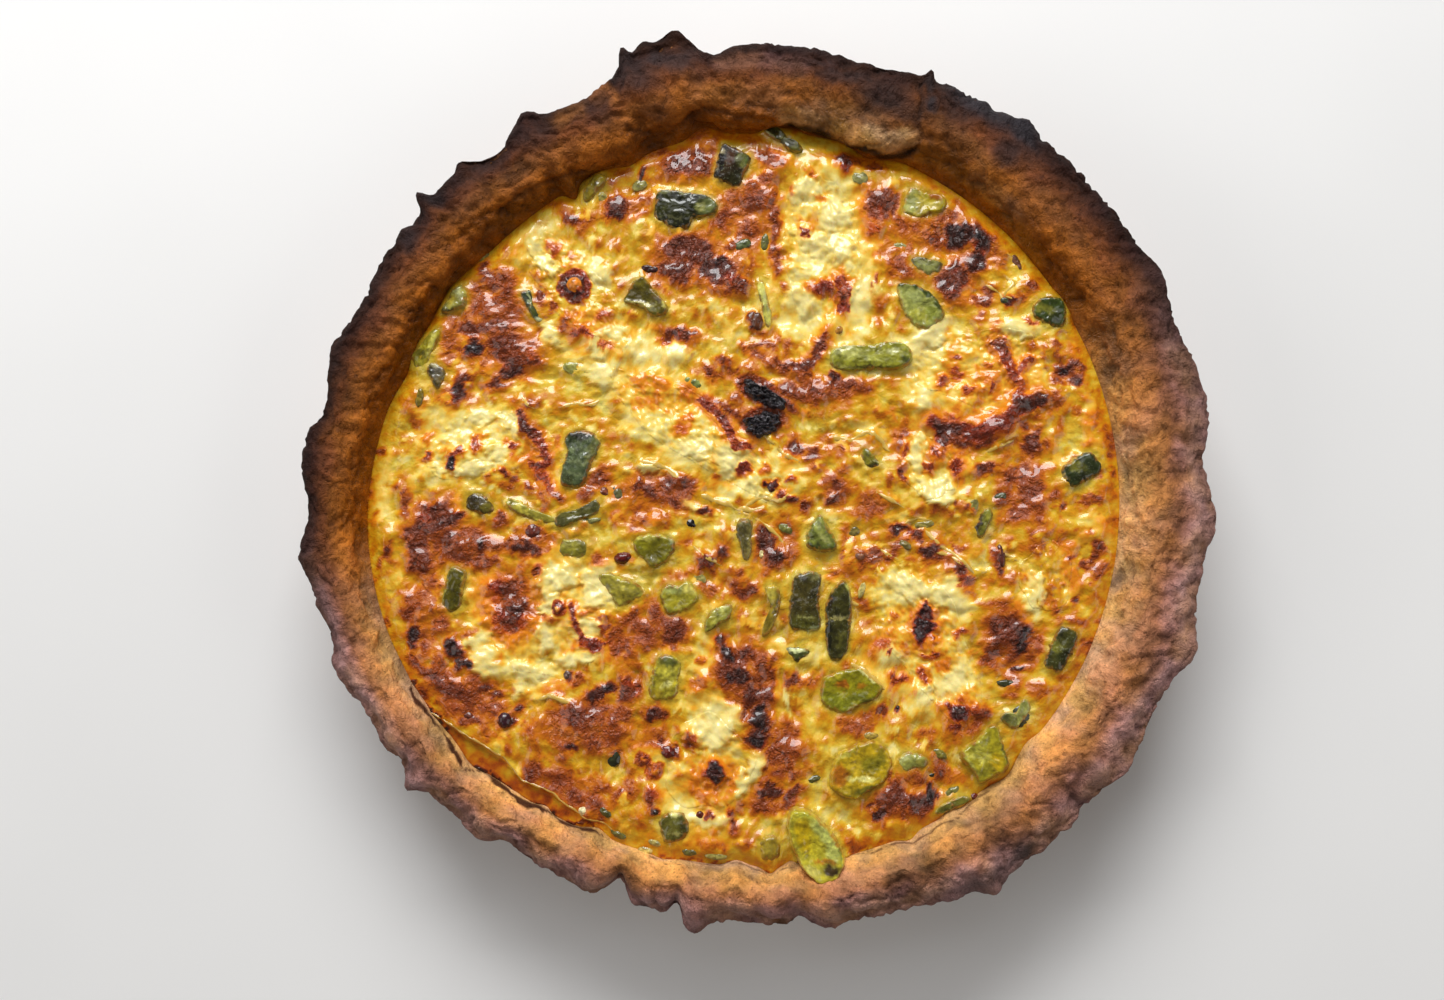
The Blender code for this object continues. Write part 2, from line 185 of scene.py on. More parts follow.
# =====================================================================================
# outlines of the torn rim and of the custard, in millimetres by angle in degrees
# =====================================================================================
RIM_LOBES = [
    (98.3, 2.3, 7.5), (102.5, 2.5, 6), (105.1, .8, 6), (112.5, 4.5, -4.5), (117, 2, -1.5), (93.5, 2, -2.5),
    (119.5, 1.5, 2.5), (124.5, 3, -3.5), (130, 1.4, 3), (136.8, .9, 5.5), (139.8, 1, -1.5), (66.1, .5, 3.5),
    (76, 6, -1.8), (52.5, 2, 3), (220.7, 1.4, 4), (231.5, 1.8, 2), (235.7, 1.8, -2), (248, 2, 1.5),
    (252, 1.6, -6.5), (260.6, 1, -4), (263.4, 1.7, 5.5), (269, 1.5, -1), (277.5, 1.5, -2.8), (280.8, 1.4, 1.5),
    (290, 5, -1.8), (302.2, 1.6, 4), (147, 1.5, 2.5), (153, 2, -2), (160, 1.6, 3), (167, 1.4, -3.5),
    (172, 2, 2), (181, 1.6, -3), (188, 1.5, 3.5), (196, 2, -2.5), (203, 1.5, 2.5), (210, 1.6, -2.5),
    (318, 1.8, -2.5), (325, 1.5, 3), (333, 2, -2.5), (341, 1.3, 3.5), (349, 1.8, -2), (357, 1.5, 3),
    (5, 1.6, -3), (13, 1.8, 2.5), (21, 1.5, -2.5), (29, 1.4, 3.5), (38, 2, -2)]
SEEN = [k for k in RIM_LOBES if 40 < k[0] < 143 or 214 < k[0] < 310]
RIM_LOBES = SEEN + [(at, 1.7 * half, .55 * amount) for at, half, amount in RIM_LOBES if (at, half, amount) not in SEEN]
BORDER_LOBES = [
    (70, 3.2, -3), (83, 2, 2), (96, 2.5, 3.5), (108.5, 2.5, -2), (118.9, 1.2, -4), (143, 5, 1.5),
    (159, 4, -1.6), (224, 3, 2), (237, 1.3, -1.3), (246, 2, -2.2), (257, 2, 1), (268.8, 1.8, -1.8),
    (273.9, 1.2, 2.2), (277.5, 1.2, -1.4), (295.8, 1.5, 1.7), (303, 1.2, -1.6), (313, 2, 1.2), (319, 2, -1.2)]


def lobes(deg, table):
    total = 0
    for at, half, amount in table:
        off = (deg - at + 180.0) % 360.0 - 180.0
        total = total + amount * np.exp(-(off / half) ** 2)
    return total


def closed_curve(points, per=10):
    """A smooth closed curve through the points."""
    pts = np.asarray(points, float)
    out = []
    n = len(pts)
    for i in range(n):
        p0, p1, p2, p3 = pts[i - 1], pts[i], pts[(i + 1) % n], pts[(i + 2) % n]
        for k in range(per):
            s = k / per
            out.append(.5 * (2 * p1 + (p2 - p0) * s + (2 * p0 - 5 * p1 + 4 * p2 - p3) * s * s + (3 * p1 - p0 - 3 * p2 + p3) * s ** 3))
    return np.array(out)


def rim_r(a):
    return (139.9 + 4.41 * np.cos(a) + 5.59 * np.sin(a) + 1.86 * np.cos(2 * a) + .05 * np.sin(2 * a)
            - 1.16 * np.cos(3 * a) - 1.62 * np.sin(3 * a) - .27 * np.cos(4 * a) + .72 * np.sin(4 * a)
            + lobes(np.degrees(a), RIM_LOBES))


def border_r(a):
    return (118.6 - .08 * np.cos(a) + 1.82 * np.sin(a) + 1.19 * np.cos(2 * a) + 1.15 * np.sin(2 * a)
            - 1.3 * np.cos(3 * a) - 1.17 * np.sin(3 * a) + .31 * np.cos(4 * a) + .25 * np.sin(4 * a)
            + lobes(np.degrees(a), BORDER_LOBES))


def upright(a):
    """1 on the far side, where the rim stands up, 0 on the near side, where it droops."""
    return smooth(-0.15, 0.45, np.sin(a - math.radians(8)) + 0.35 * smooth(0.2, 0.9, np.cos(a - math.radians(150))))


# =====================================================================================
# what is painted on the custard: all places in pixels of the frame
# =====================================================================================
# cheese: u, v, half length, half width, turn (degrees, clockwise), strength
CHEESE_AREAS = [
    (800, 650, 34, 9, 10, .7), (803, 600, 3.5, 40, 0, .8), (838, 598, 6, 22, 0, .7), (760, 600, 5, 30, 5, .45),
    (560, 560, 26, 8, 0, .5), (470, 590, 5, 34, 5, .6), (438, 585, 4, 30, 5, .5), (905, 345, 26, 14, -10, .8),
    (822, 205, 40, 44, -5, 1), (818, 262, 36, 42, 10, 1), (852, 250, 33, 42, 0, 1), (803, 322, 24, 26, 0, .9),
    (848, 322, 30, 22, -20, .95), (845, 180, 24, 18, 20, .8), (540, 243, 34, 20, -30, .85), (585, 275, 30, 18, 20, .75),
    (602, 330, 32, 24, 30, .95), (548, 332, 16, 9, 60, 1), (604, 370, 22, 20, 30, .95), (575, 345, 22, 16, 30, .8),
    (655, 350, 34, 14, 12, .9), (640, 380, 38, 24, 25, 1), (682, 402, 46, 26, 32, 1), (702, 442, 62, 34, 32, 1),
    (752, 478, 50, 26, 12, 1), (650, 415, 34, 28, 40, 1), (778, 470, 26, 22, 0, .9),
    (480, 442, 62, 36, 5, 1), (440, 470, 25, 20, 0, .9), (440, 430, 26, 26, 0, .85), (545, 462, 20, 32, -15, .8),
    (962, 385, 58, 40, -15, 1), (928, 345, 38, 22, -28, .95), (918, 440, 18, 34, 8, 1), (937, 484, 34, 14, 4, .95),
    (1008, 330, 26, 12, -8, .95), (1022, 372, 24, 28, 0, .8), (985, 420, 40, 22, 0, .7), (950, 465, 30, 20, 0, .9),
    (572, 590, 46, 30, 0, 1), (575, 640, 38, 26, 20, .95), (500, 655, 32, 26, 30, 1), (540, 680, 30, 20, 0, .9),
    (490, 600, 22, 30, 0, .7), (560, 562, 34, 10, 0, .9), (604, 600, 12, 18, 0, .9), (530, 640, 22, 24, 0, .9),
    (715, 722, 26, 26, 20, 1), (722, 748, 22, 20, 0, 1), (700, 790, 54, 34, 0, .72), (746, 780, 12, 28, 22, 1),
    (692, 830, 42, 18, 0, .5), (655, 755, 22, 16, 0, .6), (702, 660, 12, 24, -10, .8), (700, 700, 22, 14, 0, .7),
    (915, 600, 54, 26, 18, .95), (900, 660, 38, 44, 0, .8), (955, 690, 28, 42, 0, .8), (928, 705, 24, 20, 0, .85),
    (955, 600, 16, 20, 0, 1), (942, 640, 26, 30, 0, .8), (1030, 600, 14, 32, 0, .85),
    (630, 350, 20, 22, 0, .7), (870, 430, 24, 9, 8, .75), (725, 325, 24, 9, 35, .7), (905, 500, 30, 8, 10, .5),
    (765, 300, 12, 30, 0, .5), (775, 690, 6, 30, -12, .55), (812, 720, 12, 20, 0, .35), (980, 555, 26, 16, 0, .45),
]
# lumps of cheese that stand up and stay white: u, v, half length, half width, turn, height mm
WHITE_LUMPS = [
    (805, 190, 16, 12, 20, .9), (835, 215, 14, 20, 0, .8), (812, 240, 20, 12, 30, .8), (845, 255, 12, 16, 0, .7),
    (800, 300, 14, 12, 0, .6), (860, 300, 16, 20, 10, .7), (722, 725, 22, 24, 10, 2.0), (748, 775, 9, 24, 20, 1.2),
    (560, 578, 22, 12, 10, 1.6), (548, 602, 9, 22, 0, 1.3), (596, 585, 14, 16, 0, 1.3), (588, 628, 14, 14, 30, 1.0),
    (488, 662, 18, 13, 20, 1.6), (527, 670, 14, 9, 0, 1.4), (476, 640, 10, 9, 0, 1.0), (520, 690, 8, 14, 0, 1.0),
    (545, 640, 10, 16, 0, .9), (575, 660, 20, 9, -10, .8), (548, 332, 14, 8, 60, 1.3), (604, 372, 12, 16, 20, 1.1),
    (600, 345, 8, 8, 0, .8), (640, 350, 14, 8, 0, .8), (672, 352, 16, 7, 15, .8), (615, 335, 10, 8, 0, .6),
    (700, 448, 16, 12, 30, .6), (730, 460, 18, 12, 0, .6), (690, 500, 22, 6, 25, .9), (648, 468, 16, 6, 15, .9),
    (935, 488, 16, 10, 0, 1.4), (950, 492, 9, 10, 0, 1.3), (918, 452, 9, 20, 0, 1.1), (925, 400, 9, 14, 0, .8),
    (930, 335, 22, 10, -30, .9), (1015, 330, 18, 8, 0, 1.0), (945, 592, 18, 18, 30, 1.0), (912, 588, 22, 11, 10, .9),
    (1035, 600, 9, 24, 0, .9), (925, 690, 12, 8, -30, .9), (895, 655, 16, 9, 35, .6), (955, 680, 14, 20, 0, .6),
    (515, 425, 12, 9, 30, .7), (480, 420, 16, 9, 0, .7), (462, 468, 30, 7, 5, .7), (500, 455, 12, 10, 0, .5),
    (540, 250, 10, 9, 0, .9), (548, 265, 8, 8, 0, .8), (602, 275, 9, 10, 0, .8), (700, 818, 30, 8, 0, .7),
    (790, 700, 6, 14, -15, .5),
]
# browned skin of the custard: u, v, half length, half width, turn, darkness, height mm, painted pinkish sheen
BROWN = [
    (690, 163, 34, 18, 8, .74, .9, 1), (668, 152, 14, 5, 10, .84, .4, 0), (772, 158, 20, 14, 0, .66, .8, .4),
    (641, 176, 4, 14, 25, .92, .3, 0), (618, 206, 17, 13, 0, .8, .8, .8), (614, 216, 12, 5, 0, .9, .3, 0),
    (745, 200, 32, 26, 10, .55, .5, 1), (775, 225, 6, 44, 0, .62, .5, .2), (766, 180, 14, 10, 0, .6, .6, 1),
    (690, 250, 30, 18, 10, .8, .9, 1), (718, 270, 26, 20, 20, .9, 1.0, 1), (676, 272, 20, 14, 0, .78, .6, .6),
    (733, 244, 12, 8, 0, .62, .5, .3), (735, 285, 16, 10, 10, .72, .5, .7), (845, 163, 11, 8, 20, .86, .6, .8),
    (872, 168, 12, 6, 20, .68, .5, .5), (878, 205, 18, 20, 10, .74, .8, 1), (872, 228, 8, 12, 0, .66, .4, .3),
    (895, 208, 9, 12, 0, .72, .4, .3), (947, 214, 16, 12, 20, .68, .5, 1), (958, 236, 14, 14, 0, .95, 1.2, .3),
    (980, 240, 18, 16, 40, .99, 1.5, .8), (975, 262, 16, 12, 0, .92, .8, .4), (952, 282, 20, 22, 10, .82, 1.2, .9),
    (900, 264, 18, 12, 20, .6, .7, .1), (925, 230, 18, 10, -20, .42, .4, 1), (905, 250, 22, 9, -20, .4, .4, 1),
    (985, 298, 12, 10, 0, .66, .4, .9), (1032, 285, 12, 8, -20, .68, .6, .9), (1008, 300, 6, 5, 0, .9, .3, .2),
    (1000, 265, 12, 14, 0, .45, .3, .8), (498, 282, 22, 14, 0, .62, .6, .5), (483, 268, 7, 9, 0, .93, .7, .6),
    (500, 308, 36, 20, 8, .6, .7, .3), (475, 300, 14, 20, 0, .6, .4, .9), (470, 330, 16, 12, 30, .76, .6, 1),
    (493, 327, 15, 10, 0, .72, .7, 1), (510, 350, 32, 22, 10, .74, .4, .1), (472, 350, 10, 12, 0, .97, .5, .3),
    (530, 360, 16, 12, 10, .72, 1.2, 1), (511, 370, 12, 9, 0, .86, .5, 1), (494, 384, 12, 8, 0, .8, .6, .6),
    (458, 392, 8, 15, 20, .92, .7, .6), (448, 332, 14, 26, 5, .56, .6, .2), (440, 375, 10, 22, 0, .5, .3, .4),
    (540, 298, 5, 11, -10, .74, .5, .4), (553, 308, 5, 6, 0, .62, .3, .4), (552, 250, 7, 10, 0, .66, .4, .5),
    (583, 335, 15, 6, 10, .78, .5, .5), (604, 318, 9, 8, -20, .72, .5, .4), (603, 345, 10, 5, 10, .7, .4, .3),
    (566, 325, 6, 10, 20, .6, .4, .2), (680, 333, 19, 9, 12, .82, .7, 1), (664, 340, 8, 6, 0, .7, .4, .6),
    (724, 362, 11, 8, 0, .66, .7, .9), (757, 322, 7, 9, 0, .86, 1.2, .3), (763, 347, 13, 7, 15, .62, .7, 1),
    (784, 364, 18, 6, 22, .7, .7, .8), (806, 366, 12, 7, -10, .8, .8, .6), (818, 350, 9, 13, 20, .76, .8, .8),
    (800, 392, 34, 9, 8, .66, .5, .5), (842, 385, 18, 8, 0, .68, .5, .7), (838, 377, 6, 5, 0, .92, .3, 0),
    (785, 405, 20, 7, 20, .7, .3, .3), (795, 448, 11, 11, 0, .82, 1.0, .9), (812, 452, 8, 8, 0, .7, .5, .8),
    (836, 486, 10, 7, 30, .74, .5, .6), (832, 498, 11, 8, 10, .76, .9, .8), (870, 507, 22, 17, 0, .5, .6, .5),
    (764, 540, 12, 14, 0, .86, .6, .4), (777, 556, 15, 12, 20, .84, .9, .9), (722, 551, 9, 11, 10, .88, .6, .3),
    (702, 564, 13, 7, -20, .76, .7, .7), (706, 510, 7, 5, 0, .82, .3, 0), (642, 489, 18, 9, 10, .76, .7, 1),
    (672, 490, 24, 14, 25, .6, .1, 0), (655, 520, 13, 5, 0, .8, .3, .6), (598, 480, 14, 12, 0, .62, .5, .8),
    (585, 492, 12, 9, 0, .66, .4, .7), (435, 520, 30, 18, -30, .78, .8, 1), (418, 540, 14, 24, 0, .72, .6, 1),
    (470, 540, 18, 14, 0, .62, .6, .8), (448, 518, 20, 6, -25, .86, .8, 1), (500, 518, 8, 12, 0, .7, .5, .3),
    (533, 531, 10, 9, 0, .74, .7, .9), (527, 547, 16, 6, 0, .86, .6, .8), (483, 545, 6, 7, 0, .86, .3, .2),
    (420, 560, 12, 18, 0, .78, .5, .5), (425, 598, 11, 32, 0, .52, .5, .7), (492, 562, 12, 7, 0, .62, .5, .6),
    (508, 592, 29, 23, 0, .70, .3, 0), (512, 618, 23, 23, 10, .76, .8, .1), (520, 612, 11, 16, 0, .88, .9, .5),
    (498, 587, 12, 9, 0, .80, .3, 0), (560, 608, 9, 5, 0, .6, .4, .5), (548, 619, 8, 6, 0, .6, .4, .7),
    (590, 611, 8, 5, 0, .56, .3, .2), (580, 632, 5, 16, -25, .86, .6, .5), (596, 644, 14, 5, 20, .84, .5, .3),
    (606, 632, 5, 8, 0, .72, .4, .4), (618, 640, 14, 20, 0, .66, .5, .3), (415, 640, 7, 15, 0, .97, 1.0, .5),
    (453, 648, 9, 13, -15, .96, 1.3, .8), (463, 665, 10, 8, 10, .97, 1.2, .7), (455, 690, 24, 12, 20, .74, .5, .4),
    (437, 665, 9, 16, 10, .58, .5, .8), (486, 685, 12, 7, 20, .78, .9, 1), (497, 695, 7, 4, 0, .76, .5, .9),
    (506, 721, 7, 9, 0, .94, .9, .3), (515, 708, 6, 5, 0, .84, .5, .5), (565, 728, 34, 24, 5, .52, .9, .5),
    (600, 730, 30, 26, 0, .57, .8, .6), (585, 716, 26, 9, 25, .64, .9, 1), (572, 745, 9, 7, 0, .88, .3, .2),
    (600, 692, 16, 6, -35, .9, .4, .1), (628, 690, 13, 20, 0, .78, .8, .5), (625, 715, 14, 8, 0, .6, .5, 1),
    (672, 632, 16, 22, 15, .7, .5, .3), (640, 640, 24, 14, 0, .55, .4, .3), (655, 612, 12, 8, 20, .6, .3, .1),
    (722, 640, 9, 9, 0, .92, .9, .6), (729, 656, 9, 14, -15, .92, .9, .2), (738, 676, 15, 12, 10, .94, .9, .8),
    (752, 696, 12, 12, 0, .78, .6, .2), (760, 718, 12, 14, 0, .98, 1.0, .8), (757, 738, 13, 12, 0, .97, .6, .5),
    (765, 670, 8, 14, 0, .64, .3, .1), (700, 685, 16, 10, 0, .52, .3, 0), (656, 716, 11, 6, -10, .84, .4, .3),
    (716, 772, 15, 12, -10, .98, 1.8, 1), (668, 752, 11, 8, 30, .88, .7, .6), (660, 740, 7, 8, 0, .74, .5, .5),
    (691, 740, 7, 8, 0, .68, .4, .1), (708, 815, 8, 6, 0, .86, .7, .8), (734, 812, 6, 5, 0, .76, .6, .7),
    (733, 826, 7, 8, 0, .74, .5, .9), (650, 798, 9, 14, 15, .74, 1.1, .7), (642, 764, 7, 7, 0, .6, .5, .6),
    (655, 812, 4, 4, 0, .93, .4, .3), (775, 750, 11, 22, 10, .62, .5, .4), (768, 792, 13, 9, 0, .88, .6, .2),
    (793, 794, 13, 6, -20, .76, .7, .9), (764, 802, 12, 4, 30, .62, .4, .9), (792, 680, 8, 8, 0, .72, .5, .6),
    (812, 682, 20, 10, 0, .56, .4, .3), (926, 614, 12, 8, 0, .95, 1.0, .8), (923, 630, 13, 15, 0, .98, .8, .1),
    (880, 642, 14, 14, 0, .64, .2, .1), (891, 652, 4, 5, 0, .86, .2, 0), (897, 678, 10, 6, 0, .84, .4, .1),
    (923, 676, 5, 8, 0, .78, .4, .1), (960, 632, 8, 4, -25, .76, .4, .6), (943, 667, 9, 7, 0, .5, .2, 0),
    (893, 620, 6, 5, 0, .6, .3, 0), (931, 655, 8, 5, 0, .74, .4, .8), (944, 690, 7, 6, 0, .56, .3, 0),
    (958, 712, 16, 13, 10, .95, 1.4, .7), (978, 712, 14, 8, 0, .7, .9, .4), (953, 730, 9, 7, 0, .8, .4, .1),
    (899, 708, 3, 3, 0, .92, .2, 0), (884, 712, 5, 10, 0, .7, .4, .5), (1005, 630, 22, 22, 20, .76, .8, .8),
    (1022, 640, 8, 18, 10, .97, .8, .3), (990, 660, 12, 10, 0, .6, .4, .4), (1020, 668, 10, 5, 0, .9, .4, .5),
    (892, 795, 20, 18, 0, .76, .7, .2), (918, 805, 12, 14, 0, .88, .7, .5), (930, 798, 6, 16, 10, .97, .9, .3),
    (880, 812, 9, 9, 0, .9, .3, .1), (888, 775, 9, 7, 0, .84, .5, .3), (908, 775, 14, 9, 0, .6, .6, .3),
    (897, 530, 10, 7, 0, .93, .3, .1), (915, 532, 14, 5, 10, .8, .5, .2), (929, 552, 10, 8, -10, .93, .7, 1),
    (922, 538, 6, 9, 20, .7, .6, .9), (868, 554, 10, 10, 0, .62, .7, 1), (998, 560, 6, 18, -8, .8, .9, .8),
    (962, 575, 8, 16, -30, .78, .7, .8), (960, 548, 14, 4, 25, .6, .4, .5), (987, 470, 12, 6, -10, .78, .4, .6),
    (1035, 440, 8, 18, 10, .8, .5, .6), (1028, 490, 18, 20, 0, .66, .6, 1), (1020, 515, 20, 12, 0, .62, .5, .6),
    (1008, 470, 10, 10, 0, .6, .3, .3), (942, 428, 12, 8, 20, .88, 1.2, .6), (950, 416, 12, 5, 10, .66, .4, .2),
    (1000, 343, 8, 4, 0, .66, .5, .3), (957, 357, 5, 5, 0, .76, .5, .5), (960, 374, 7, 5, 20, .78, .5, .6),
    (943, 382, 7, 5, 10, .78, .6, .6), (986, 368, 5, 4, 0, .62, .4, .4), (968, 392, 10, 4, -25, .76, .5, .6),
    (995, 387, 4, 5, 0, .76, .4, .4), (902, 452, 4, 12, 30, .72, .3, .2), (930, 464, 9, 6, 0, .74, .6, .5),
    (959, 470, 7, 11, 0, .82, .3, 0), (903, 474, 4, 4, 0, .74, .3, .1), (889, 482, 4, 8, 20, .55, .2, 0),
    (940, 440, 9, 10, 0, .82, .3, 0), (810, 172, 7, 4, 0, .6, .3, 0), (821, 199, 8, 4, 20, .66, .3, .1),
    (805, 232, 7, 8, 0, .84, .4, .5), (843, 292, 10, 20, -8, .8, .7, .8), (822, 287, 14, 8, -10, .82, .7, .9),
    (843, 308, 10, 6, 0, .88, .4, .4), (876, 277, 4, 4, 0, .62, .3, 0), (794, 192, 5, 6, 0, .58, .3, .3),
    (680, 428, 8, 9, 0, .7, .2, 0), (686, 418, 6, 4, 0, .6, .2, 0), (745, 468, 7, 6, -10, .86, .5, .2),
    (716, 478, 6, 4, 0, .7, .3, 0), (765, 467, 4, 6, 0, .6, .3, .1), (772, 486, 6, 5, 10, .94, .6, .5),
    (791, 479, 6, 4, 0, .84, .5, .7), (787, 498, 9, 6, 10, .88, .6, .7), (805, 506, 8, 9, 0, .66, .3, .2),
    (427, 457, 7, 5, -20, .8, .6, .6), (452, 464, 6, 10, 15, .97, .7, .2), (458, 455, 5, 6, 20, .84, .4, .3),
    (478, 445, 5, 9, 20, .74, .4, .3), (513, 447, 6, 7, 10, .84, .6, .6), (503, 472, 6, 4, 0, .8, .5, .5),
    (514, 477, 4, 5, 0, .7, .3, .2), (526, 486, 5, 4, 0, .7, .2, 0), (430, 437, 6, 8, 0, .5, .2, 0),
    (641, 383, 10, 10, 0, .45, .4, .3), (660, 385, 14, 12, 20, .42, .4, .3), (690, 393, 14, 8, 20, .6, .5, .4),
    (560, 440, 6, 10, 0, .5, .2, .2), (1028, 325, 8, 6, 10, .74, .5, .6), (996, 327, 8, 5, 0, .62, .4, .5),
    (655, 773, 8, 5, 0, .42, .3, .3), (1000, 500, 8, 5, -20, .55, .5, .9), (965, 508, 5, 4, 0, .7, .3, .1),
    (760, 640, 12, 14, 0, .4, .3, .3), (705, 590, 14, 9, 0, .55, .5, .8), (745, 590, 18, 12, 0, .66, .5, .4),
    (725, 610, 12, 10, 0, .5, .4, .3), (850, 725, 18, 12, 0, .56, .5, .2), (600, 560, 12, 8, 0, .6, .4, .3),
    (538, 570, 9, 6, 0, .66, .4, .4), (575, 680, 12, 8, 0, .58, .2, 0), (567, 675, 5, 5, 0, .8, .2, 0),
    (405, 500, 8, 20, 0, .6, .3, .6), (415, 420, 6, 16, -20, .5, .3, .2), (950, 770, 8, 12, -10, .5, .3, 0),
    (700, 132, 22, 6, 0, .6, .4, .9), (750, 138, 22, 8, 0, .52, .4, .6), (712, 140, 8, 8, 0, .5, .5, 1),
    (850, 775, 8, 6, 0, .6, .2, .1), (840, 685, 7, 5, 10, .66, .2, .1), (862, 683, 7, 5, 0, .56, .2, .1),
    (472, 722, 16, 7, 0, .66, .3, .1), (450, 705, 20, 8, 15, .55, .3, .3), (1035, 690, 14, 10, 0, .5, .2, 0),
]
# narrow browned seams and folds: points, half width, darkness, height mm, painted pinkish sheen
SEAMS = [
    ([(703, 402), (718, 415), (728, 430), (735, 444), (746, 447)], 5.5, .84, .7, .8),
    ([(706, 398), (722, 405), (738, 418)], 3, .66, .5, .6),
    ([(521, 415), (524, 428), (535, 436), (545, 448), (546, 462), (538, 466)], 5.5, .84, .8, 1),
    ([(530, 462), (538, 474), (550, 486), (562, 496)], 5, .72, .4, .4),
    ([(934, 422), (944, 428), (958, 430), (973, 433), (988, 430), (1002, 422), (1013, 412), (1023, 404), (1038, 401)], 9.5, .86, 1.9, .3),
    ([(942, 434), (958, 440), (974, 442), (986, 438)], 5, .74, .6, .2),
    ([(1016, 402), (1020, 388), (1012, 374), (1006, 360), (1004, 348), (994, 342)], 6, .78, 1.2, .9),
    ([(1012, 378), (1022, 366), (1030, 360)], 4.5, .78, .8, .6),
    ([(972, 440), (990, 440), (1004, 432), (1016, 420), (1026, 428)], 4, .7, .5, .3),
    ([(888, 560), (900, 545), (915, 535)], 4, .6, .4, .3),
    ([(796, 372), (812, 360), (822, 345), (826, 335)], 5, .72, .6, .7),
    ([(742, 345), (758, 356), (776, 366), (792, 374), (812, 374)], 4, .6, .6, .7),
    ([(772, 230), (777, 255), (776, 275)], 3, .66, .4, .2),
    ([(500, 606), (508, 618), (513, 632), (517, 626)], 2.5, .8, 1.0, 1),
    ([(573, 605), (576, 622), (584, 636), (600, 648)], 3.5, .84, .5, .4),
    ([(635, 215), (655, 208), (650, 196)], 3, .6, .4, .5),
    ([(405, 655), (425, 672), (450, 684)], 5, .7, .4, .6),
]
# rings with a pale blister inside: u, v, radius, half width, darkness of the ring
RINGS = [(575, 287, 12, 5.5, .76), (655, 771, 7, 3, .55), (560, 607, 6, 3, .62), (643, 760, 6, 3, .6),
         (655, 521, 13, 2.5, .45), (700, 662, 5, 2, .4), (925, 322, 7, 2.5, .4)]
# broad soft tanning: u, v, half length, half width, turn, amount
TANNED = [
    (745, 215, 52, 50, 0, .42), (500, 310, 60, 48, 0, .42), (690, 262, 60, 34, 10, .45), (925, 240, 66, 60, 20, .42),
    (870, 505, 30, 24, 0, .42), (455, 545, 62, 40, 0, .48), (430, 610, 36, 60, 0, .45), (585, 725, 72, 40, 0, .48),
    (655, 625, 46, 32, 0, .45), (745, 680, 40, 60, -15, .48), (785, 750, 36, 50, 0, .46), (905, 795, 52, 36, 0, .45),
    (1010, 640, 40, 54, 0, .48), (820, 390, 70, 26, 0, .42), (508, 605, 44, 44, 0, .5), (1020, 490, 40, 50, 0, .46),
    (982, 388, 52, 44, 0, .40), (716, 780, 34, 26, 0, .48), (925, 630, 30, 32, 0, .48), (960, 716, 36, 26, 0, .5),
    (600, 480, 30, 26, 0, .4), (530, 545, 60, 24, 0, .42), (770, 545, 40, 40, 0, .4), (665, 395, 50, 26, 20, .34),
    (540, 468, 28, 36, 0, .42), (600, 330, 40, 26, 0, .36), (465, 690, 60, 36, 20, .5), (690, 840, 80, 20, 0, .34),
    (700, 135, 60, 18, 0, .4), (855, 160, 40, 16, 10, .4), (835, 490, 24, 24, 0, .42), (672, 490, 44, 24, 25, .5),
    (960, 775, 16, 22, 0, .4), (860, 720, 30, 20, 0, .46), (570, 790, 70, 26, 30, .5), (650, 200, 40, 30, 0, .36),
    (640, 500, 40, 20, 0, .36), (650, 735, 30, 20, 0, .4), (770, 800, 50, 20, 0, .45), (930, 440, 70, 34, 0, .42),
    (880, 650, 34, 40, 0, .34), (600, 640, 44, 34, 0, .38), (850, 575, 26, 20, 0, .4), (940, 550, 40, 30, 0, .34),
]
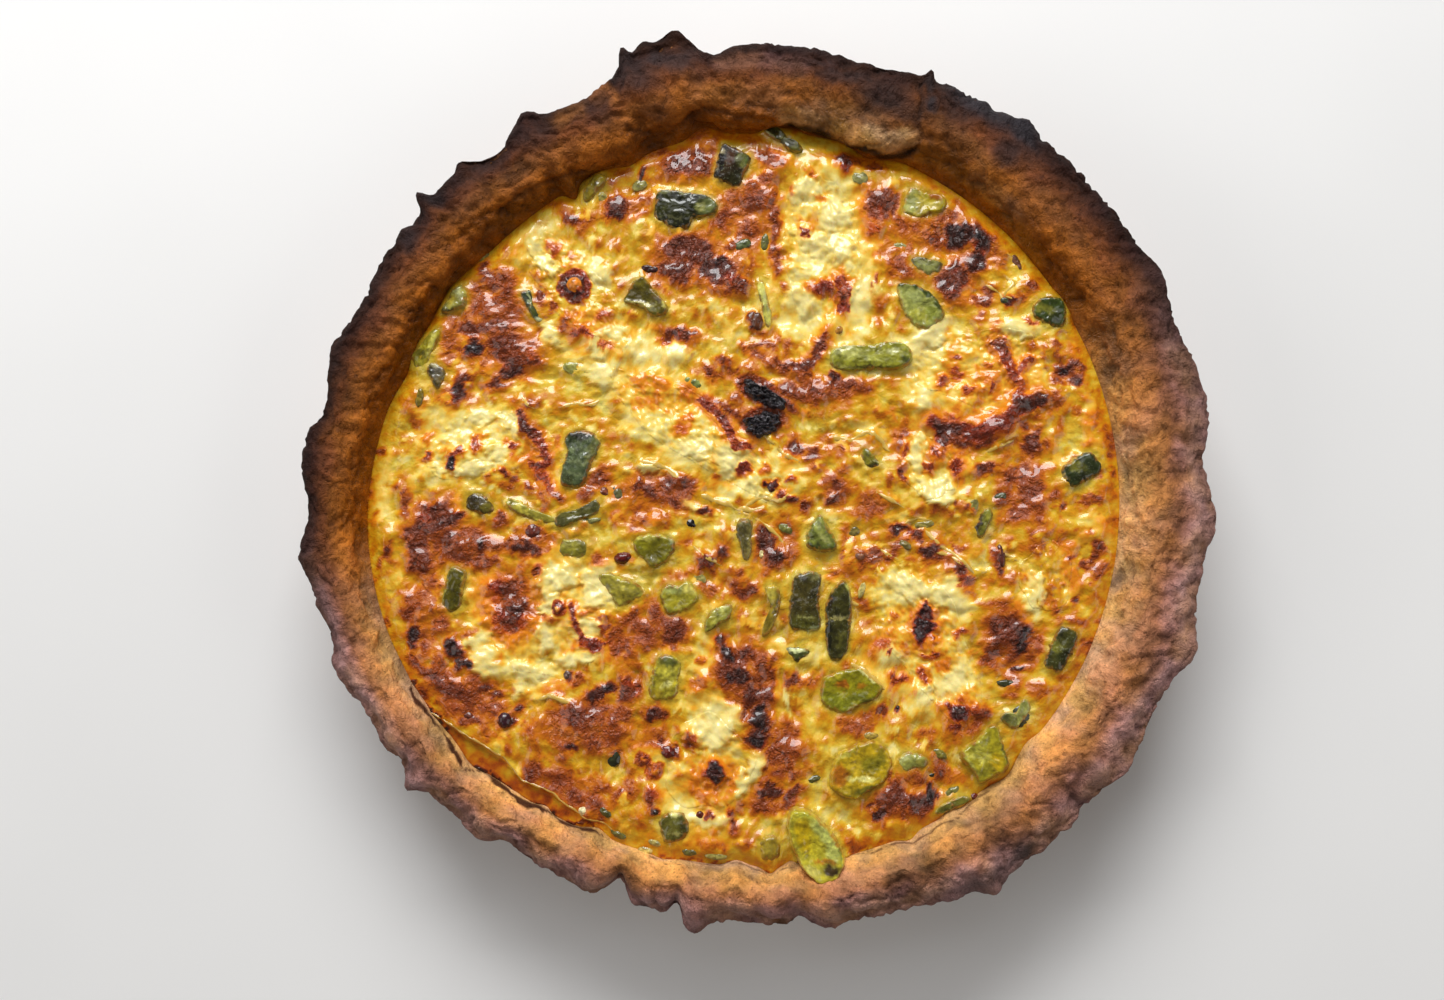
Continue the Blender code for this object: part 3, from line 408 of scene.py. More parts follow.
# olive tints where zucchini shows through or lends its colour: u, v, a, b, turn, amount
OLIVE = [
    (600, 183, 24, 14, -30, .8), (585, 190, 14, 10, 0, .5), (645, 190, 60, 12, -5, .35), (625, 235, 40, 14, 0, .45),
    (730, 335, 34, 14, 20, .6), (750, 300, 10, 36, 0, .55), (690, 300, 40, 12, 0, .4), (570, 370, 26, 22, 10, .75),
    (620, 290, 30, 20, 0, .4), (425, 400, 14, 36, 0, .5), (420, 350, 14, 30, 0, .8), (455, 280, 22, 16, 0, .7),
    (525, 500, 34, 12, 20, .7), (580, 545, 34, 26, 0, .7), (590, 520, 30, 12, 0, .5), (505, 530, 20, 12, 0, .4),
    (460, 560, 22, 24, 0, .6), (455, 610, 20, 24, 0, .6), (640, 690, 34, 34, 0, .5), (660, 590, 34, 26, 0, .5),
    (700, 620, 36, 20, 0, .5), (770, 620, 26, 40, 0, .7), (745, 520, 22, 34, 0, .6), (820, 530, 22, 30, 0, .6),
    (795, 645, 36, 22, 0, .5), (850, 690, 44, 30, 0, .6), (850, 780, 44, 34, 0, .6), (920, 760, 40, 24, 0, .6),
    (980, 750, 34, 34, 0, .6), (955, 805, 30, 14, -20, .7), (1010, 705, 24, 24, 0, .6), (985, 520, 20, 44, 10, .7),
    (870, 460, 22, 22, 0, .6), (850, 330, 60, 14, 0, .3), (920, 300, 36, 34, 20, .6), (925, 200, 36, 26, 0, .5),
    (920, 250, 28, 14, 0, .4), (770, 840, 24, 34, 0, .6), (730, 856, 60, 12, 0, .6), (675, 830, 26, 34, 0, .7),
    (625, 830, 24, 20, 0, .6), (545, 770, 60, 14, 35, .5), (610, 765, 24, 18, 0, .6), (630, 440, 22, 34, 30, .35),
    (730, 400, 16, 20, 0, .5), (820, 420, 40, 20, 0, .5), (900, 500, 40, 16, 0, .5), (940, 520, 26, 20, 0, .5),
    (890, 545, 18, 10, 20, .7), (790, 590, 10, 30, 0, .4), (970, 650, 10, 36, 0, .6), (640, 580, 30, 20, 0, .7),
    (1000, 250, 16, 20, 0, .4), (805, 145, 30, 10, 10, .3), (690, 590, 30, 20, 0, .5), (800, 770, 24, 30, 0, .5),
    (865, 825, 14, 14, 0, .5), (740, 540, 14, 20, 0, .5), (815, 775, 14, 12, 0, .5), (980, 600, 14, 10, 0, .4),
    (500, 240, 30, 12, -40, .5), (590, 215, 12, 34, 0, .3), (860, 235, 60, 8, -15, .5), (1030, 560, 20, 20, 0, .3),
]
# thin raised strands, folds and oil lines that catch the light: points, half width px, height mm
STRANDS = [
    ([(903, 525), (915, 518), (930, 520)], 1.8, .5), ([(925, 530), (940, 545), (958, 558), (975, 575)], 2.0, .6),
    ([(935, 552), (950, 556), (962, 566)], 1.6, .4), ([(850, 663), (862, 670), (875, 680), (885, 690)], 2.6, .8),
    ([(845, 590), (852, 602), (860, 606)], 2.2, .6), ([(875, 545), (890, 556), (900, 560)], 1.6, .4),
    ([(640, 463), (660, 466), (672, 472), (680, 480)], 3.0, .8), ([(700, 495), (720, 502), (745, 510), (765, 508)], 2.6, .7),
    ([(745, 507), (760, 498), (780, 500), (790, 494)], 2.2, .6), ([(538, 700), (550, 696), (562, 700), (570, 702)], 2.6, .8),
    ([(560, 408), (575, 404), (590, 405), (600, 400)], 2.0, .5), ([(520, 395), (526, 402), (535, 410)], 2.0, .5),
    ([(738, 512), (755, 518), (772, 530), (785, 545)], 1.6, .5), ([(975, 570), (985, 572), (990, 568)], 1.6, .4),
    ([(830, 436), (850, 440), (868, 432), (880, 440), (890, 452)], 2.4, .6), ([(875, 492), (890, 500), (905, 508)], 1.8, .5),
    ([(985, 452), (1000, 446), (1015, 438)], 1.8, .5), ([(745, 425), (760, 432), (772, 442), (785, 455), (800, 463)], 2.0, .5),
    ([(1000, 552), (1010, 556), (1020, 562)], 1.6, .4), ([(690, 545), (705, 556), (722, 566)], 1.6, .4),
    ([(1005, 275), (1012, 285), (1005, 296), (1015, 300)], 1.8, .5), ([(985, 285), (998, 292), (1003, 302)], 1.8, .5),
    ([(980, 487), (990, 480)], 1.4, .4),
]
OIL_LINE = [(428, 712), (440, 718), (455, 727), (468, 736), (481, 743), (492, 750), (503, 757), (511, 766), (517, 774),
            (524, 781), (535, 785), (547, 790), (557, 796), (565, 804), (574, 809), (582, 816), (592, 820), (604, 823),
            (615, 832), (628, 843)]
BURNT_LINE = [(411, 686), (414, 697), (424, 708), (434, 721), (442, 729), (450, 742), (455, 752), (463, 768), (474, 771),
              (488, 771), (495, 779), (504, 788), (513, 796), (524, 802), (538, 807), (550, 813), (560, 821), (574, 826),
              (592, 829), (604, 836)]
NEAR_LINE = [(650, 857), (672, 859), (690, 861), (705, 864), (720, 865), (738, 862), (752, 868), (765, 873), (780, 870), (795, 866)]
RIGHT_LINE = [(848, 854), (872, 853), (895, 843), (914, 843), (925, 835), (938, 826), (955, 818), (972, 802), (990, 788), (1004, 776)]


def oval(u, v, spec):
    """Distance from an oval's middle as a share of its half sizes."""
    u0, v0, a, b, turn = spec[:5]
    c, s = math.cos(math.radians(turn)), math.sin(math.radians(turn))
    du, dv = u - u0, v - v0
    return np.hypot((du * c + dv * s) / a, (-du * s + dv * c) / b)


def line_distance(u, v, points):
    """Distance in pixels from a broken line."""
    best = np.full_like(u, 1e9)
    for (x0, y0), (x1, y1) in zip(points, points[1:]):
        dx, dy = x1 - x0, y1 - y0
        t = np.clip(((u - x0) * dx + (v - y0) * dy) / (dx * dx + dy * dy), 0, 1)
        best = np.minimum(best, np.hypot(u - x0 - t * dx, v - y0 - t * dy))
    return best


# ---- what lies in the custard, as the frame has it (millimetres) ---------------------
# name, kind, x, y, length, width, heading, proud, tilt, look
ZUCCHINI = [
    ("zucchini_01", "skin", -18.5, 95.5, 21.5, 11.5, -7, 3.2, 4, "dark"),
    ("zucchini_02", "skin", -3.0, 109.5, 13.5, 10.5, -71, 3.6, -5, "charred"),
    ("zucchini_03", "skin", 11.8, 113.3, 12.0, 5.0, -41, 3.4, 5, "halfdark"),
    ("zucchini_04", "face", -31.5, 66.0, 12.5, 11.0, 20, 3.0, 8, "olive"),
    ("zucchini_05", "skin", -70.0, 64.0, 10.5, 4.0, -60, 2.0, 0, "dark"),
    ("zucchini_06", "skin", -99.0, 38.8, 8.5, 6.0, -64, 2.6, 0, "grey"),
    ("zucchini_07", "skin", -100.0, 51.2, 12.0, 6.0, 64, 2.0, 3, "pale"),
    ("zucchini_08", "skin", -90.8, 65.3, 8.5, 6.0, 40, 2.4, -4, "grey"),
    ("zucchini_09", "skin", -52.0, 14.0, 18.0, 10.5, 76, 3.0, -3, "blue"),
    ("zucchini_10", "face", 56.5, 62.0, 15.5, 13.0, -36, 2.4, -4, "fresh"),
    ("zucchini_11", "skin", 40.5, 45.5, 25.5, 8.5, 2, 3.8, 3, "strip"),
    ("zucchini_12", "face", 57.5, 96.0, 13.5, 9.5, -21, 2.0, 5, "yellow"),
    ("zucchini_13", "skin", 58.5, 75.5, 11.0, 5.0, -16, 1.8, 0, "grey"),
    ("zucchini_14", "skin", 40.5, 13.5, 7.5, 6.0, -51, 1.8, 0, "olive"),
    ("zucchini_15", "skin", -85.0, -1.0, 9.0, 6.5, -20, 2.0, 3, "olivedark"),
    ("zucchini_16", "skin", -68.5, -3.5, 14.0, 4.0, -12, 1.6, 0, "pale"),
    ("zucchini_17", "skin", -51.5, -6.5, 12.5, 3.0, 8, 2.2, 0, "dark"),
    ("zucchini_18", "skin", -54.0, -15.0, 10.0, 7.5, 0, 1.6, 3, "buried"),
    ("zucchini_19", "face", -28.5, -15.5, 13.5, 11.0, 10, 2.6, -4, "fresh"),
    ("zucchini_20", "skin", -90.0, -27.0, 14.5, 9.5, 76, 2.8, 3, "olive"),
    ("zucchini_21", "skin", -38.0, -27.5, 10.0, 8.0, -35, 1.4, 0, "buried"),
    ("zucchini_22", "face", -21.8, -31.0, 11.5, 9.5, 150, 2.4, 4, "fresh"),
    ("zucchini_23", "skin", -9.0, -37.5, 11.5, 7.0, 22, 2.4, -4, "strip"),
    ("zucchini_24", "skin", -25.0, -57.0, 16.0, 9.5, 72, 2.2, 5, "yellowgreen"),
    ("zucchini_25", "skin", 0.5, -12.0, 15.0, 6.0, -80, 2.4, 0, "grey"),
    ("zucchini_26", "skin", 7.0, -35.0, 15.5, 5.0, 70, 1.4, 0, "buried"),
    ("zucchini_27", "skin", 19.2, -31.4, 20.0, 9.3, 85, 2.6, -3, "olivedark"),
    ("zucchini_28", "skin", 30.4, -37.0, 28.0, 8.0, 83, 3.2, 2, "dark"),
    ("zucchini_29", "skin", 16.5, -48.5, 7.5, 5.5, -10, 1.8, 0, "olive"),
    ("zucchini_30", "skin", 24.0, -10.5, 10.0, 6.0, 75, 2.0, 0, "olive"),
    ("zucchini_31", "face", 33.6, -61.5, 19.5, 12.5, 15, 2.2, 3, "yellow"),
    ("zucchini_32", "face", 35.0, -84.5, 19.0, 17.0, 25, 3.0, -3, "yellow"),
    ("zucchini_33", "face", 23.4, -107.2, 23.5, 14.0, -66, 5.2, -8, "bright"),
    ("zucchini_34", "skin", 52.0, -81.5, 9.5, 5.0, -10, 2.2, 0, "strip"),
    ("zucchini_35", "face", 73.0, -77.9, 16.0, 14.5, -40, 3.4, -3, "bright"),
    ("zucchini_36", "skin", 83.5, -66.0, 12.0, 7.0, 49, 2.6, 0, "strip"),
    ("zucchini_37", "skin", 76.0, -6.5, 12.5, 4.5, 79, 2.2, 0, "dark"),
    ("zucchini_38", "skin", -22.5, -101.5, 10.0, 8.5, 80, 2.4, 0, "olivedark"),
    ("zucchini_39", "skin", 8.0, -107.4, 8.0, 6.0, 80, 1.4, 0, "buried"),
    ("zucchini_40", "skin", 62.3, -93.0, 9.5, 3.5, 22, 1.8, 0, "olive"),
    ("zucchini_41", "skin", 8.6, 64.5, 14.5, 4.0, -75, 1.8, 0, "strip"),
    ("zucchini_42", "skin", -48.1, 98.8, 9.8, 5.5, 63, 2.4, 3, "yellowgreen"),
    ("zucchini_43", "skin", 106.0, 9.0, 13.0, 8.5, 30, 2.6, -3, "dark"),
    ("zucchini_44", "skin", 98.3, -47.0, 15.0, 7.5, 65, 2.6, 3, "olivedark"),
    ("zucchini_45", "face", 96.5, 58.0, 12.0, 10.0, -31, 2.2, 0, "fresh"),
]
CHEESE = [
    ("cheese_1", 24.8, 80.5, 27.5, 13.0, 94), ("cheese_2", -54.0, 68.0, 24.0, 9.3, -49),
    ("cheese_3", -15.0, 21.9, 35.0, 9.6, -36), ("cheese_4", -82.5, 17.3, 22.5, 10.8, 5),
    ("cheese_5", 79.5, 40.5, 25.5, 14.0, -9), ("cheese_6", 58.0, 10.5, 12.0, 8.5, -63),
    ("cheese_7", -61.5, -38.5, 22.0, 17.5, -12), ("cheese_8", -11.5, -82.5, 15.0, 14.5, 90),
    ("cheese_9", 57.0, -43.5, 29.5, 12.0, -62), ("cheese_10", 94.5, -24.5, 11.5, 8.5, 79),
]
CHARRED = [("charred_bit_1", 4.9, 35.0, 6.6, 3.3, -29), ("charred_bit_2", 6.2, 25.4, 6.0, 3.6, 10)]
CHARRED_OUTLINES = {
    "charred_bit_1": [(743, 381), (749, 378), (757, 382), (766, 387), (774, 391), (781, 397), (783, 404), (775, 408), (765, 406),
                      (756, 402), (748, 394)],
    "charred_bit_2": [(742, 426), (747, 418), (757, 414), (768, 411), (776, 415), (779, 424), (773, 433), (762, 437), (752, 435),
                      (744, 432)],
}
# crumbs, seeds, beads and slivers a few pixels across: u, v, half length, half width, turn, colour, height mm
BITS = [
    (815, 868, 8, 6.5, 0, (70, 22, 20), 3.4), (806, 864, 9, 5, 20, (120, 64, 36), 2.6),
    (694, 382, 10, 5, 20, (126, 134, 74), .7), (575, 369, 13, 6, 15, (150, 146, 72), .5), (743, 245, 9, 5, -20, (84, 92, 56), .7),
    (765, 241, 4, 9, 10, (104, 104, 56), .7), (787, 528, 9, 5, 20, (118, 116, 56), .6), (853, 531, 7, 5, 0, (118, 104, 52), .6),
    (812, 780, 9, 3.6, -20, (86, 84, 36), .6), (612, 759, 8, 8, 0, (44, 46, 26), 1.0), (933, 775, 10, 3, -22, (36, 34, 22), .6),
    (860, 179, 8, 6, 10, (150, 146, 92), .6), (1008, 684, 11, 4, 8, (64, 66, 42), .8), (1020, 716, 9, 13, 30, (52, 58, 38), .9),
    (645, 851, 8, 4.5, 10, (206, 184, 112), .9), (583, 811, 4.4, 4.2, 0, (236, 226, 190), 1.3), (623, 558, 9, 6, -8, (92, 18, 12), 1.7),
    (650, 268, 9, 4, 8, (52, 20, 24), .8), (690, 523, 6, 5, 20, (22, 14, 18), 1.0), (505, 720, 6.5, 8, 0, (58, 22, 34), 1.5),
    (567, 675, 4, 5, 0, (104, 78, 74), .7), (762, 554, 3, 4, 0, (232, 214, 160), .8), (575, 286, 7.5, 7.5, 0, (214, 126, 36), 1.9),
    (925, 834, 4, 3, 0, (128, 50, 16), .7), (937, 829, 4.4, 3, -20, (110, 36, 14), .7), (974, 797, 4.4, 3.4, -30, (96, 28, 14), .8),
    (757, 322, 6, 9, 0, (92, 48, 26), 1.0), (540, 299, 4, 10, -10, (128, 50, 18), .8), (1004, 301, 4, 3, 0, (70, 74, 50), .7),
    (655, 812, 4, 3, 0, (40, 16, 14), .7), (700, 815, 4, 4, 0, (96, 34, 16), .7), (468, 716, 6, 4, 10, (96, 40, 22), .7),
    (533, 531, 7, 7, 0, (104, 44, 34), 1.0), (603, 492, 6, 5, 0, (120, 60, 40), .8), (617, 494, 5, 8, -20, (96, 92, 60), .7),
    (1001, 556, 4, 12, -8, (84, 34, 28), .9), (668, 752, 7, 6, 30, (96, 24, 14), 1.0), (772, 487, 5, 5, 0, (72, 20, 12), .9),
    (898, 708, 2.6, 2.6, 0, (44, 24, 14), .5), (860, 556, 5, 4, 0, (150, 100, 80), .7), (640, 184, 9, 5, -30, (150, 144, 84), .5),
    (600, 196, 7, 5, 20, (170, 156, 84), .5), (716, 856, 12, 4, 6, (150, 140, 78), .6), (690, 852, 8, 4, 0, (96, 92, 46), .6),
    (655, 843, 8, 3.4, 20, (168, 156, 96), .7), (618, 834, 9, 4, 30, (110, 106, 54), .7), (606, 812, 7, 4, 40, (78, 76, 34), .6),
    (940, 754, 8, 4, 30, (128, 118, 50), .6), (952, 792, 9, 4, -30, (116, 112, 56), .6), (870, 736, 8, 4, 0, (168, 140, 60), .5),
    (800, 600, 4, 4, 0, (60, 52, 26), .4), (590, 521, 12, 3, -10, (134, 132, 84), .6), (700, 578, 7, 4, 30, (160, 150, 88), .5),
    (862, 590, 3.4, 9, 20, (196, 180, 112), .7), (973, 505, 5, 8, 10, (128, 120, 60), .6), (1000, 497, 7, 4, -20, (74, 76, 48), .6),
    (905, 545, 7, 4, 30, (128, 112, 60), .6), (925, 524, 10, 4, -6, (150, 136, 70), .5), (900, 246, 8, 3.6, 10, (150, 146, 96), .5),
    (456, 254, 6, 3, -40, (104, 92, 34), .5), (483, 256, 7, 4, -40, (140, 122, 48), .5), (420, 398, 3.6, 10, 10, (128, 108, 34), .5),
    (1016, 262, 4, 10, -30, (108, 66, 48), .7), (838, 330, 5, 4, 0, (176, 120, 50), .5), (652, 300, 5, 5, 0, (150, 130, 54), .5),
]


# outline of each piece in pixels of the frame, its main colour, and patches of other
# colours on it: u, v, half length, half width, turn, colour, strength
# the near-white and pale blue-grey patches are painted highlights and glints on the wet pieces
PIECES = {
    "zucchini_01": ([(657, 190), (670, 188), (686, 191), (700, 193), (712, 197), (719, 204), (716, 212), (708, 217), (700, 218),
                     (693, 221), (691, 228), (684, 230), (672, 229), (664, 224), (655, 219), (653, 205)], (36, 38, 18), [
        (708, 206, 12, 11, 0, (98, 106, 78), .85), (676, 191, 18, 2.5, 2, (132, 134, 120), .6), (701, 207, 4.5, 4.5, 0, (160, 160, 124), .8),
        (701, 207, 2.4, 2.4, 0, (84, 88, 56), .9), (672, 218, 12, 1.5, 10, (120, 120, 112), .6), (665, 205, 8, 10, 0, (52, 54, 26), .6),
        (680, 226, 8, 3, 0, (16, 16, 12), .8)]),
    "zucchini_02": ([(722, 144), (733, 146), (745, 151), (751, 156), (750, 166), (744, 176), (740, 186), (728, 184), (716, 180),
                     (712, 174), (716, 160)], (44, 34, 24), [
        (720, 160, 5, 17, 12, (24, 18, 24), .95), (731, 156, 4, 12, 12, (82, 52, 50), .8), (742, 160, 7, 8, 0, (104, 108, 78), .85),
        (736, 178, 10, 7, 0, (40, 38, 18), .9), (719, 152, 1.6, 4, 20, (170, 160, 170), .6), (724, 150, 1.4, 3, -20, (180, 170, 180), .6),
        (717, 166, 1.5, 4, 0, (150, 140, 150), .6), (748, 160, 2.4, 6, 0, (66, 82, 46), .8)]),
    "zucchini_03": ([(766, 126), (774, 123), (783, 130), (790, 138), (800, 143), (804, 150), (798, 155), (788, 150), (778, 142),
                     (770, 137), (764, 131)], (62, 60, 26), [
        (772, 129, 6, 6, 30, (34, 34, 20), .9), (797, 149, 6, 5, 30, (92, 92, 34), .9), (770, 134, 8, 1.4, 40, (190, 190, 150), .6),
        (784, 136, 8, 2, 42, (104, 104, 52), .5)]),
    "zucchini_04": ([(641, 276), (650, 283), (658, 292), (664, 300), (669, 310), (662, 317), (652, 316), (640, 307), (622, 303),
                     (624, 296), (631, 283)], (88, 80, 26), [
        (640, 303, 16, 1.8, 8, (196, 188, 150), .8), (655, 312, 12, 4, 30, (104, 100, 48), .9), (656, 298, 6, 4, 30, (120, 98, 70), .8),
        (664, 300, 1.8, 9, -10, (206, 196, 140), .7), (640, 284, 7, 4, 0, (110, 100, 36), .6), (636, 294, 9, 6, 0, (66, 56, 16), .7)]),
    "zucchini_05": ([(519, 291), (526, 288), (531, 290), (534, 302), (541, 316), (545, 323), (538, 324), (531, 316), (524, 304)],
                    (46, 60, 46), [
        (529, 298, 1.8, 9, -12, (176, 186, 180), .75), (524, 293, 4, 2, 0, (30, 44, 36), .8), (540, 321, 5, 2.6, 20, (214, 222, 220), .8),
        (533, 312, 3, 4, 0, (92, 96, 52), .7)]),
    "zucchini_06": ([(429, 362), (436, 361), (444, 366), (447, 374), (443, 384), (438, 392), (432, 384), (426, 374), (425, 368)],
                    (76, 66, 44), [(436, 365, 5, 2.4, 10, (186, 180, 186), .7), (430, 371, 3, 3, 0, (40, 34, 24), .8),
                                   (440, 382, 4, 6, 0, (96, 78, 44), .8)]),
    "zucchini_07": ([(437, 326), (441, 331), (436, 345), (431, 358), (424, 368), (414, 368), (410, 356), (418, 345), (427, 334)],
                    (158, 148, 56), [(431, 345, 2.6, 14, 22, (208, 202, 128), .8), (417, 356, 6, 7, 20, (116, 110, 42), .8),
                                     (428, 360, 3, 8, 20, (172, 150, 40), .7)]),
    "zucchini_08": ([(452, 288), (460, 284), (466, 290), (468, 300), (464, 308), (456, 310), (448, 313), (440, 312), (441, 306),
                     (447, 298)], (146, 142, 88), [(448, 309, 10, 2.2, -6, (46, 38, 16), .9), (458, 291, 4, 5, 0, (176, 180, 160), .7),
                                                   (450, 299, 5, 5, 0, (168, 148, 60), .7)]),
    "zucchini_09": ([(567, 432), (575, 429), (588, 430), (598, 437), (600, 446), (594, 460), (588, 474), (582, 486), (568, 488),
                     (560, 482), (562, 466), (566, 450), (564, 440)], (76, 88, 78), [
        (579, 435, 13, 5.5, 4, (28, 24, 12), .95), (569, 447, 2, 12, 5, (52, 62, 44), .8), (592, 452, 5, 14, 22, (104, 104, 70), .8),
        (567, 482, 8, 6, 0, (62, 66, 40), .8), (580, 450, 12, 2.4, 10, (118, 130, 124), .6), (578, 462, 12, 2, 10, (128, 138, 130), .5),
        (574, 474, 11, 2, 10, (120, 130, 120), .5)]),
    "zucchini_10": ([(896, 285), (905, 282), (918, 284), (928, 289), (938, 298), (944, 308), (946, 315), (940, 322), (928, 330),
                     (914, 326), (904, 314), (898, 300)], (150, 156, 104), [
        (924, 290, 24, 3.4, 28, (44, 58, 26), .95), (940, 306, 3.6, 9, -28, (52, 62, 26), .95), (900, 284, 6, 2.4, 0, (48, 52, 26), .9),
        (914, 296, 9, 5, 30, (176, 186, 148), .8), (920, 316, 12, 8, 20, (164, 162, 74), .8), (932, 312, 5, 8, 0, (126, 134, 60), .8),
        (902, 300, 3.4, 12, -24, (196, 196, 140), .7)]),
    "zucchini_11": ([(829, 357), (833, 349), (843, 345), (858, 344), (874, 342), (890, 341), (904, 343), (912, 349), (913, 359),
                     (907, 367), (894, 370), (876, 371), (856, 372), (840, 371), (831, 367)], (140, 140, 58), [
        (850, 353, 18, 4.6, 2, (184, 186, 138), .8), (874, 358, 20, 3, 4, (168, 172, 112), .6), (892, 351, 7, 2.6, 0, (214, 218, 190), .75),
        (906, 359, 5.5, 6, 0, (54, 62, 42), .9), (862, 367, 30, 2, 0, (66, 56, 20), .85), (842, 366, 10, 1.2, 0, (180, 176, 130), .5),
        (870, 345, 16, 2.2, 0, (164, 142, 44), .6)]),
    "zucchini_12": ([(906, 190), (914, 186), (922, 190), (934, 192), (944, 196), (948, 204), (944, 212), (932, 214), (920, 220),
                     (910, 216), (902, 210)], (168, 150, 48), [
        (911, 202, 8, 13, 10, (152, 158, 118), .85), (935, 196, 8, 3.6, 24, (148, 76, 20), .9), (912, 187, 8, 1.6, -10, (80, 66, 40), .8),
        (934, 210, 10, 4, 10, (166, 146, 26), .8), (928, 203, 8, 2.4, 20, (200, 186, 104), .7)]),
    "zucchini_13": ([(909, 258), (915, 255), (926, 256), (938, 259), (944, 263), (940, 271), (930, 276), (922, 273), (912, 266)],
                    (126, 128, 92), [(926, 257, 16, 2, 6, (58, 44, 24), .85), (941, 265, 3, 5, 0, (64, 48, 28), .8),
                                     (926, 267, 9, 3.4, 10, (156, 162, 126), .7), (912, 260, 3, 4, 0, (60, 52, 28), .8)]),
    "zucchini_14": ([(864, 445), (870, 448), (876, 456), (882, 466), (874, 470), (866, 467), (860, 462), (860, 452)], (134, 128, 52), [
        (874, 466, 7, 3, 10, (36, 28, 24), .9), (876, 462, 5, 1.2, 10, (214, 214, 214), .7), (866, 452, 3, 6, 0, (104, 104, 48), .8)]),
    "zucchini_15": ([(466, 494), (474, 491), (484, 494), (492, 501), (494, 510), (486, 516), (474, 514), (465, 506)], (62, 52, 22), [
        (487, 507, 5, 6, 0, (116, 108, 52), .8), (472, 500, 6, 6, 0, (44, 32, 16), .7), (478, 494, 4, 2, 10, (160, 140, 110), .5)]),
    "zucchini_16": ([(502, 498), (515, 499), (530, 506), (544, 513), (556, 518), (556, 523), (540, 523), (524, 518), (508, 508)],
                    (166, 156, 78), [(526, 517, 16, 2.6, 24, (120, 96, 34), .8), (520, 504, 12, 1.6, 24, (206, 200, 140), .7)]),
    "zucchini_17": ([(552, 521), (558, 513), (572, 509), (588, 503), (597, 498), (602, 502), (600, 511), (588, 518), (574, 524), (558, 529)], (84, 82, 50), [(578, 528, 16, 1.8, -8, (22, 20, 12), .95), (597, 515, 4, 2.6, -30, (206, 214, 214), .8),
                                                 (576, 523, 12, 1.4, -14, (126, 124, 88), .7)]),
    "zucchini_18": ([(559, 541), (568, 537), (580, 537), (588, 541), (590, 552), (586, 558), (570, 558), (558, 554)], (134, 128, 58), [
        (568, 543, 8, 4, 10, (166, 160, 100), .8), (584, 550, 4, 7, 0, (104, 98, 42), .7), (572, 556, 12, 1.4, 0, (176, 164, 110), .6)]),
    "zucchini_19": ([(634, 538), (642, 534), (652, 532), (664, 534), (672, 537), (676, 544), (675, 552), (668, 560), (658, 568),
                     (650, 568), (640, 558), (632, 548)], (120, 114, 26), [
        (652, 537, 16, 3.4, 0, (186, 180, 112), .85), (656, 552, 12, 9, -30, (88, 82, 14), .8), (642, 546, 8, 4, 20, (142, 138, 36), .7),
        (673, 546, 3, 9, -8, (46, 58, 42), .95), (672, 541, 2, 4, 0, (190, 196, 190), .6), (652, 565, 8, 2.4, -20, (120, 104, 40), .6)]),
    "zucchini_20": ([(450, 566), (460, 566), (466, 572), (464, 586), (462, 600), (458, 610), (448, 612), (440, 606), (442, 592),
                     (446, 576)], (84, 78, 20), [
        (444, 590, 2.2, 22, 12, (160, 148, 62), .8), (456, 568, 9, 3.4, 10, (196, 186, 130), .8), (455, 592, 5, 16, 8, (76, 70, 12), .8),
        (463, 588, 2, 18, 6, (172, 150, 66), .7), (450, 610, 8, 2, 0, (120, 104, 40), .6)]),
    "zucchini_21": ([(597, 574), (608, 572), (620, 576), (632, 580), (642, 586), (646, 594), (638, 600), (626, 606), (616, 606),
                     (608, 594), (600, 584)], (156, 146, 70), [(622, 586, 20, 2, 28, (190, 180, 112), .7), (612, 580, 12, 3, 30, (136, 126, 56), .7),
                                                              (628, 598, 12, 4, 20, (146, 132, 52), .7)]),
    "zucchini_22": ([(661, 588), (668, 583), (678, 584), (688, 580), (696, 588), (700, 598), (690, 608), (678, 614), (668, 616),
                     (662, 606), (659, 596)], (158, 150, 60), [
        (661, 602, 2.6, 14, -14, (48, 58, 26), .95), (674, 589, 10, 5, 0, (176, 184, 140), .85), (690, 590, 8, 4, 30, (206, 196, 136), .8),
        (680, 604, 12, 4, 0, (146, 134, 36), .8), (670, 610, 6, 4, 0, (112, 108, 42), .7), (677, 585, 3, 2, 0, (226, 230, 220), .6)]),
    "zucchini_23": ([(703, 628), (706, 616), (714, 608), (724, 603), (733, 604), (733, 612), (728, 620), (718, 626), (710, 632),
                     (704, 634)], (158, 156, 84), [
        (716, 628, 14, 2.2, -34, (40, 46, 18), .95), (722, 608, 9, 4, -24, (190, 192, 146), .8), (710, 620, 5, 6, 20, (140, 132, 50), .8)]),
    "zucchini_24": ([(657, 658), (667, 654), (678, 657), (682, 664), (680, 680), (678, 696), (668, 700), (654, 702), (648, 694),
                     (650, 676)], (162, 150, 54), [
        (669, 661, 12, 6, 6, (88, 96, 60), .9), (660, 656, 8, 1.8, -20, (54, 56, 34), .8), (667, 674, 10, 7, 0, (178, 172, 86), .7),
        (668, 684, 7, 2.6, -30, (232, 228, 190), .7), (656, 694, 8, 6, 0, (140, 116, 30), .7), (651, 680, 2.4, 14, 4, (120, 112, 50), .7)]),
    "zucchini_25": ([(736, 524), (742, 518), (750, 518), (754, 526), (753, 540), (752, 552), (748, 562), (742, 560), (740, 548),
                     (735, 536)], (96, 88, 60), [(742, 530, 6, 8, 0, (66, 58, 38), .7), (750, 548, 3, 10, 0, (140, 128, 90), .7),
                                                 (744, 522, 5, 2.4, 0, (176, 170, 150), .6), (745, 556, 4, 6, 0, (120, 100, 70), .6)]),
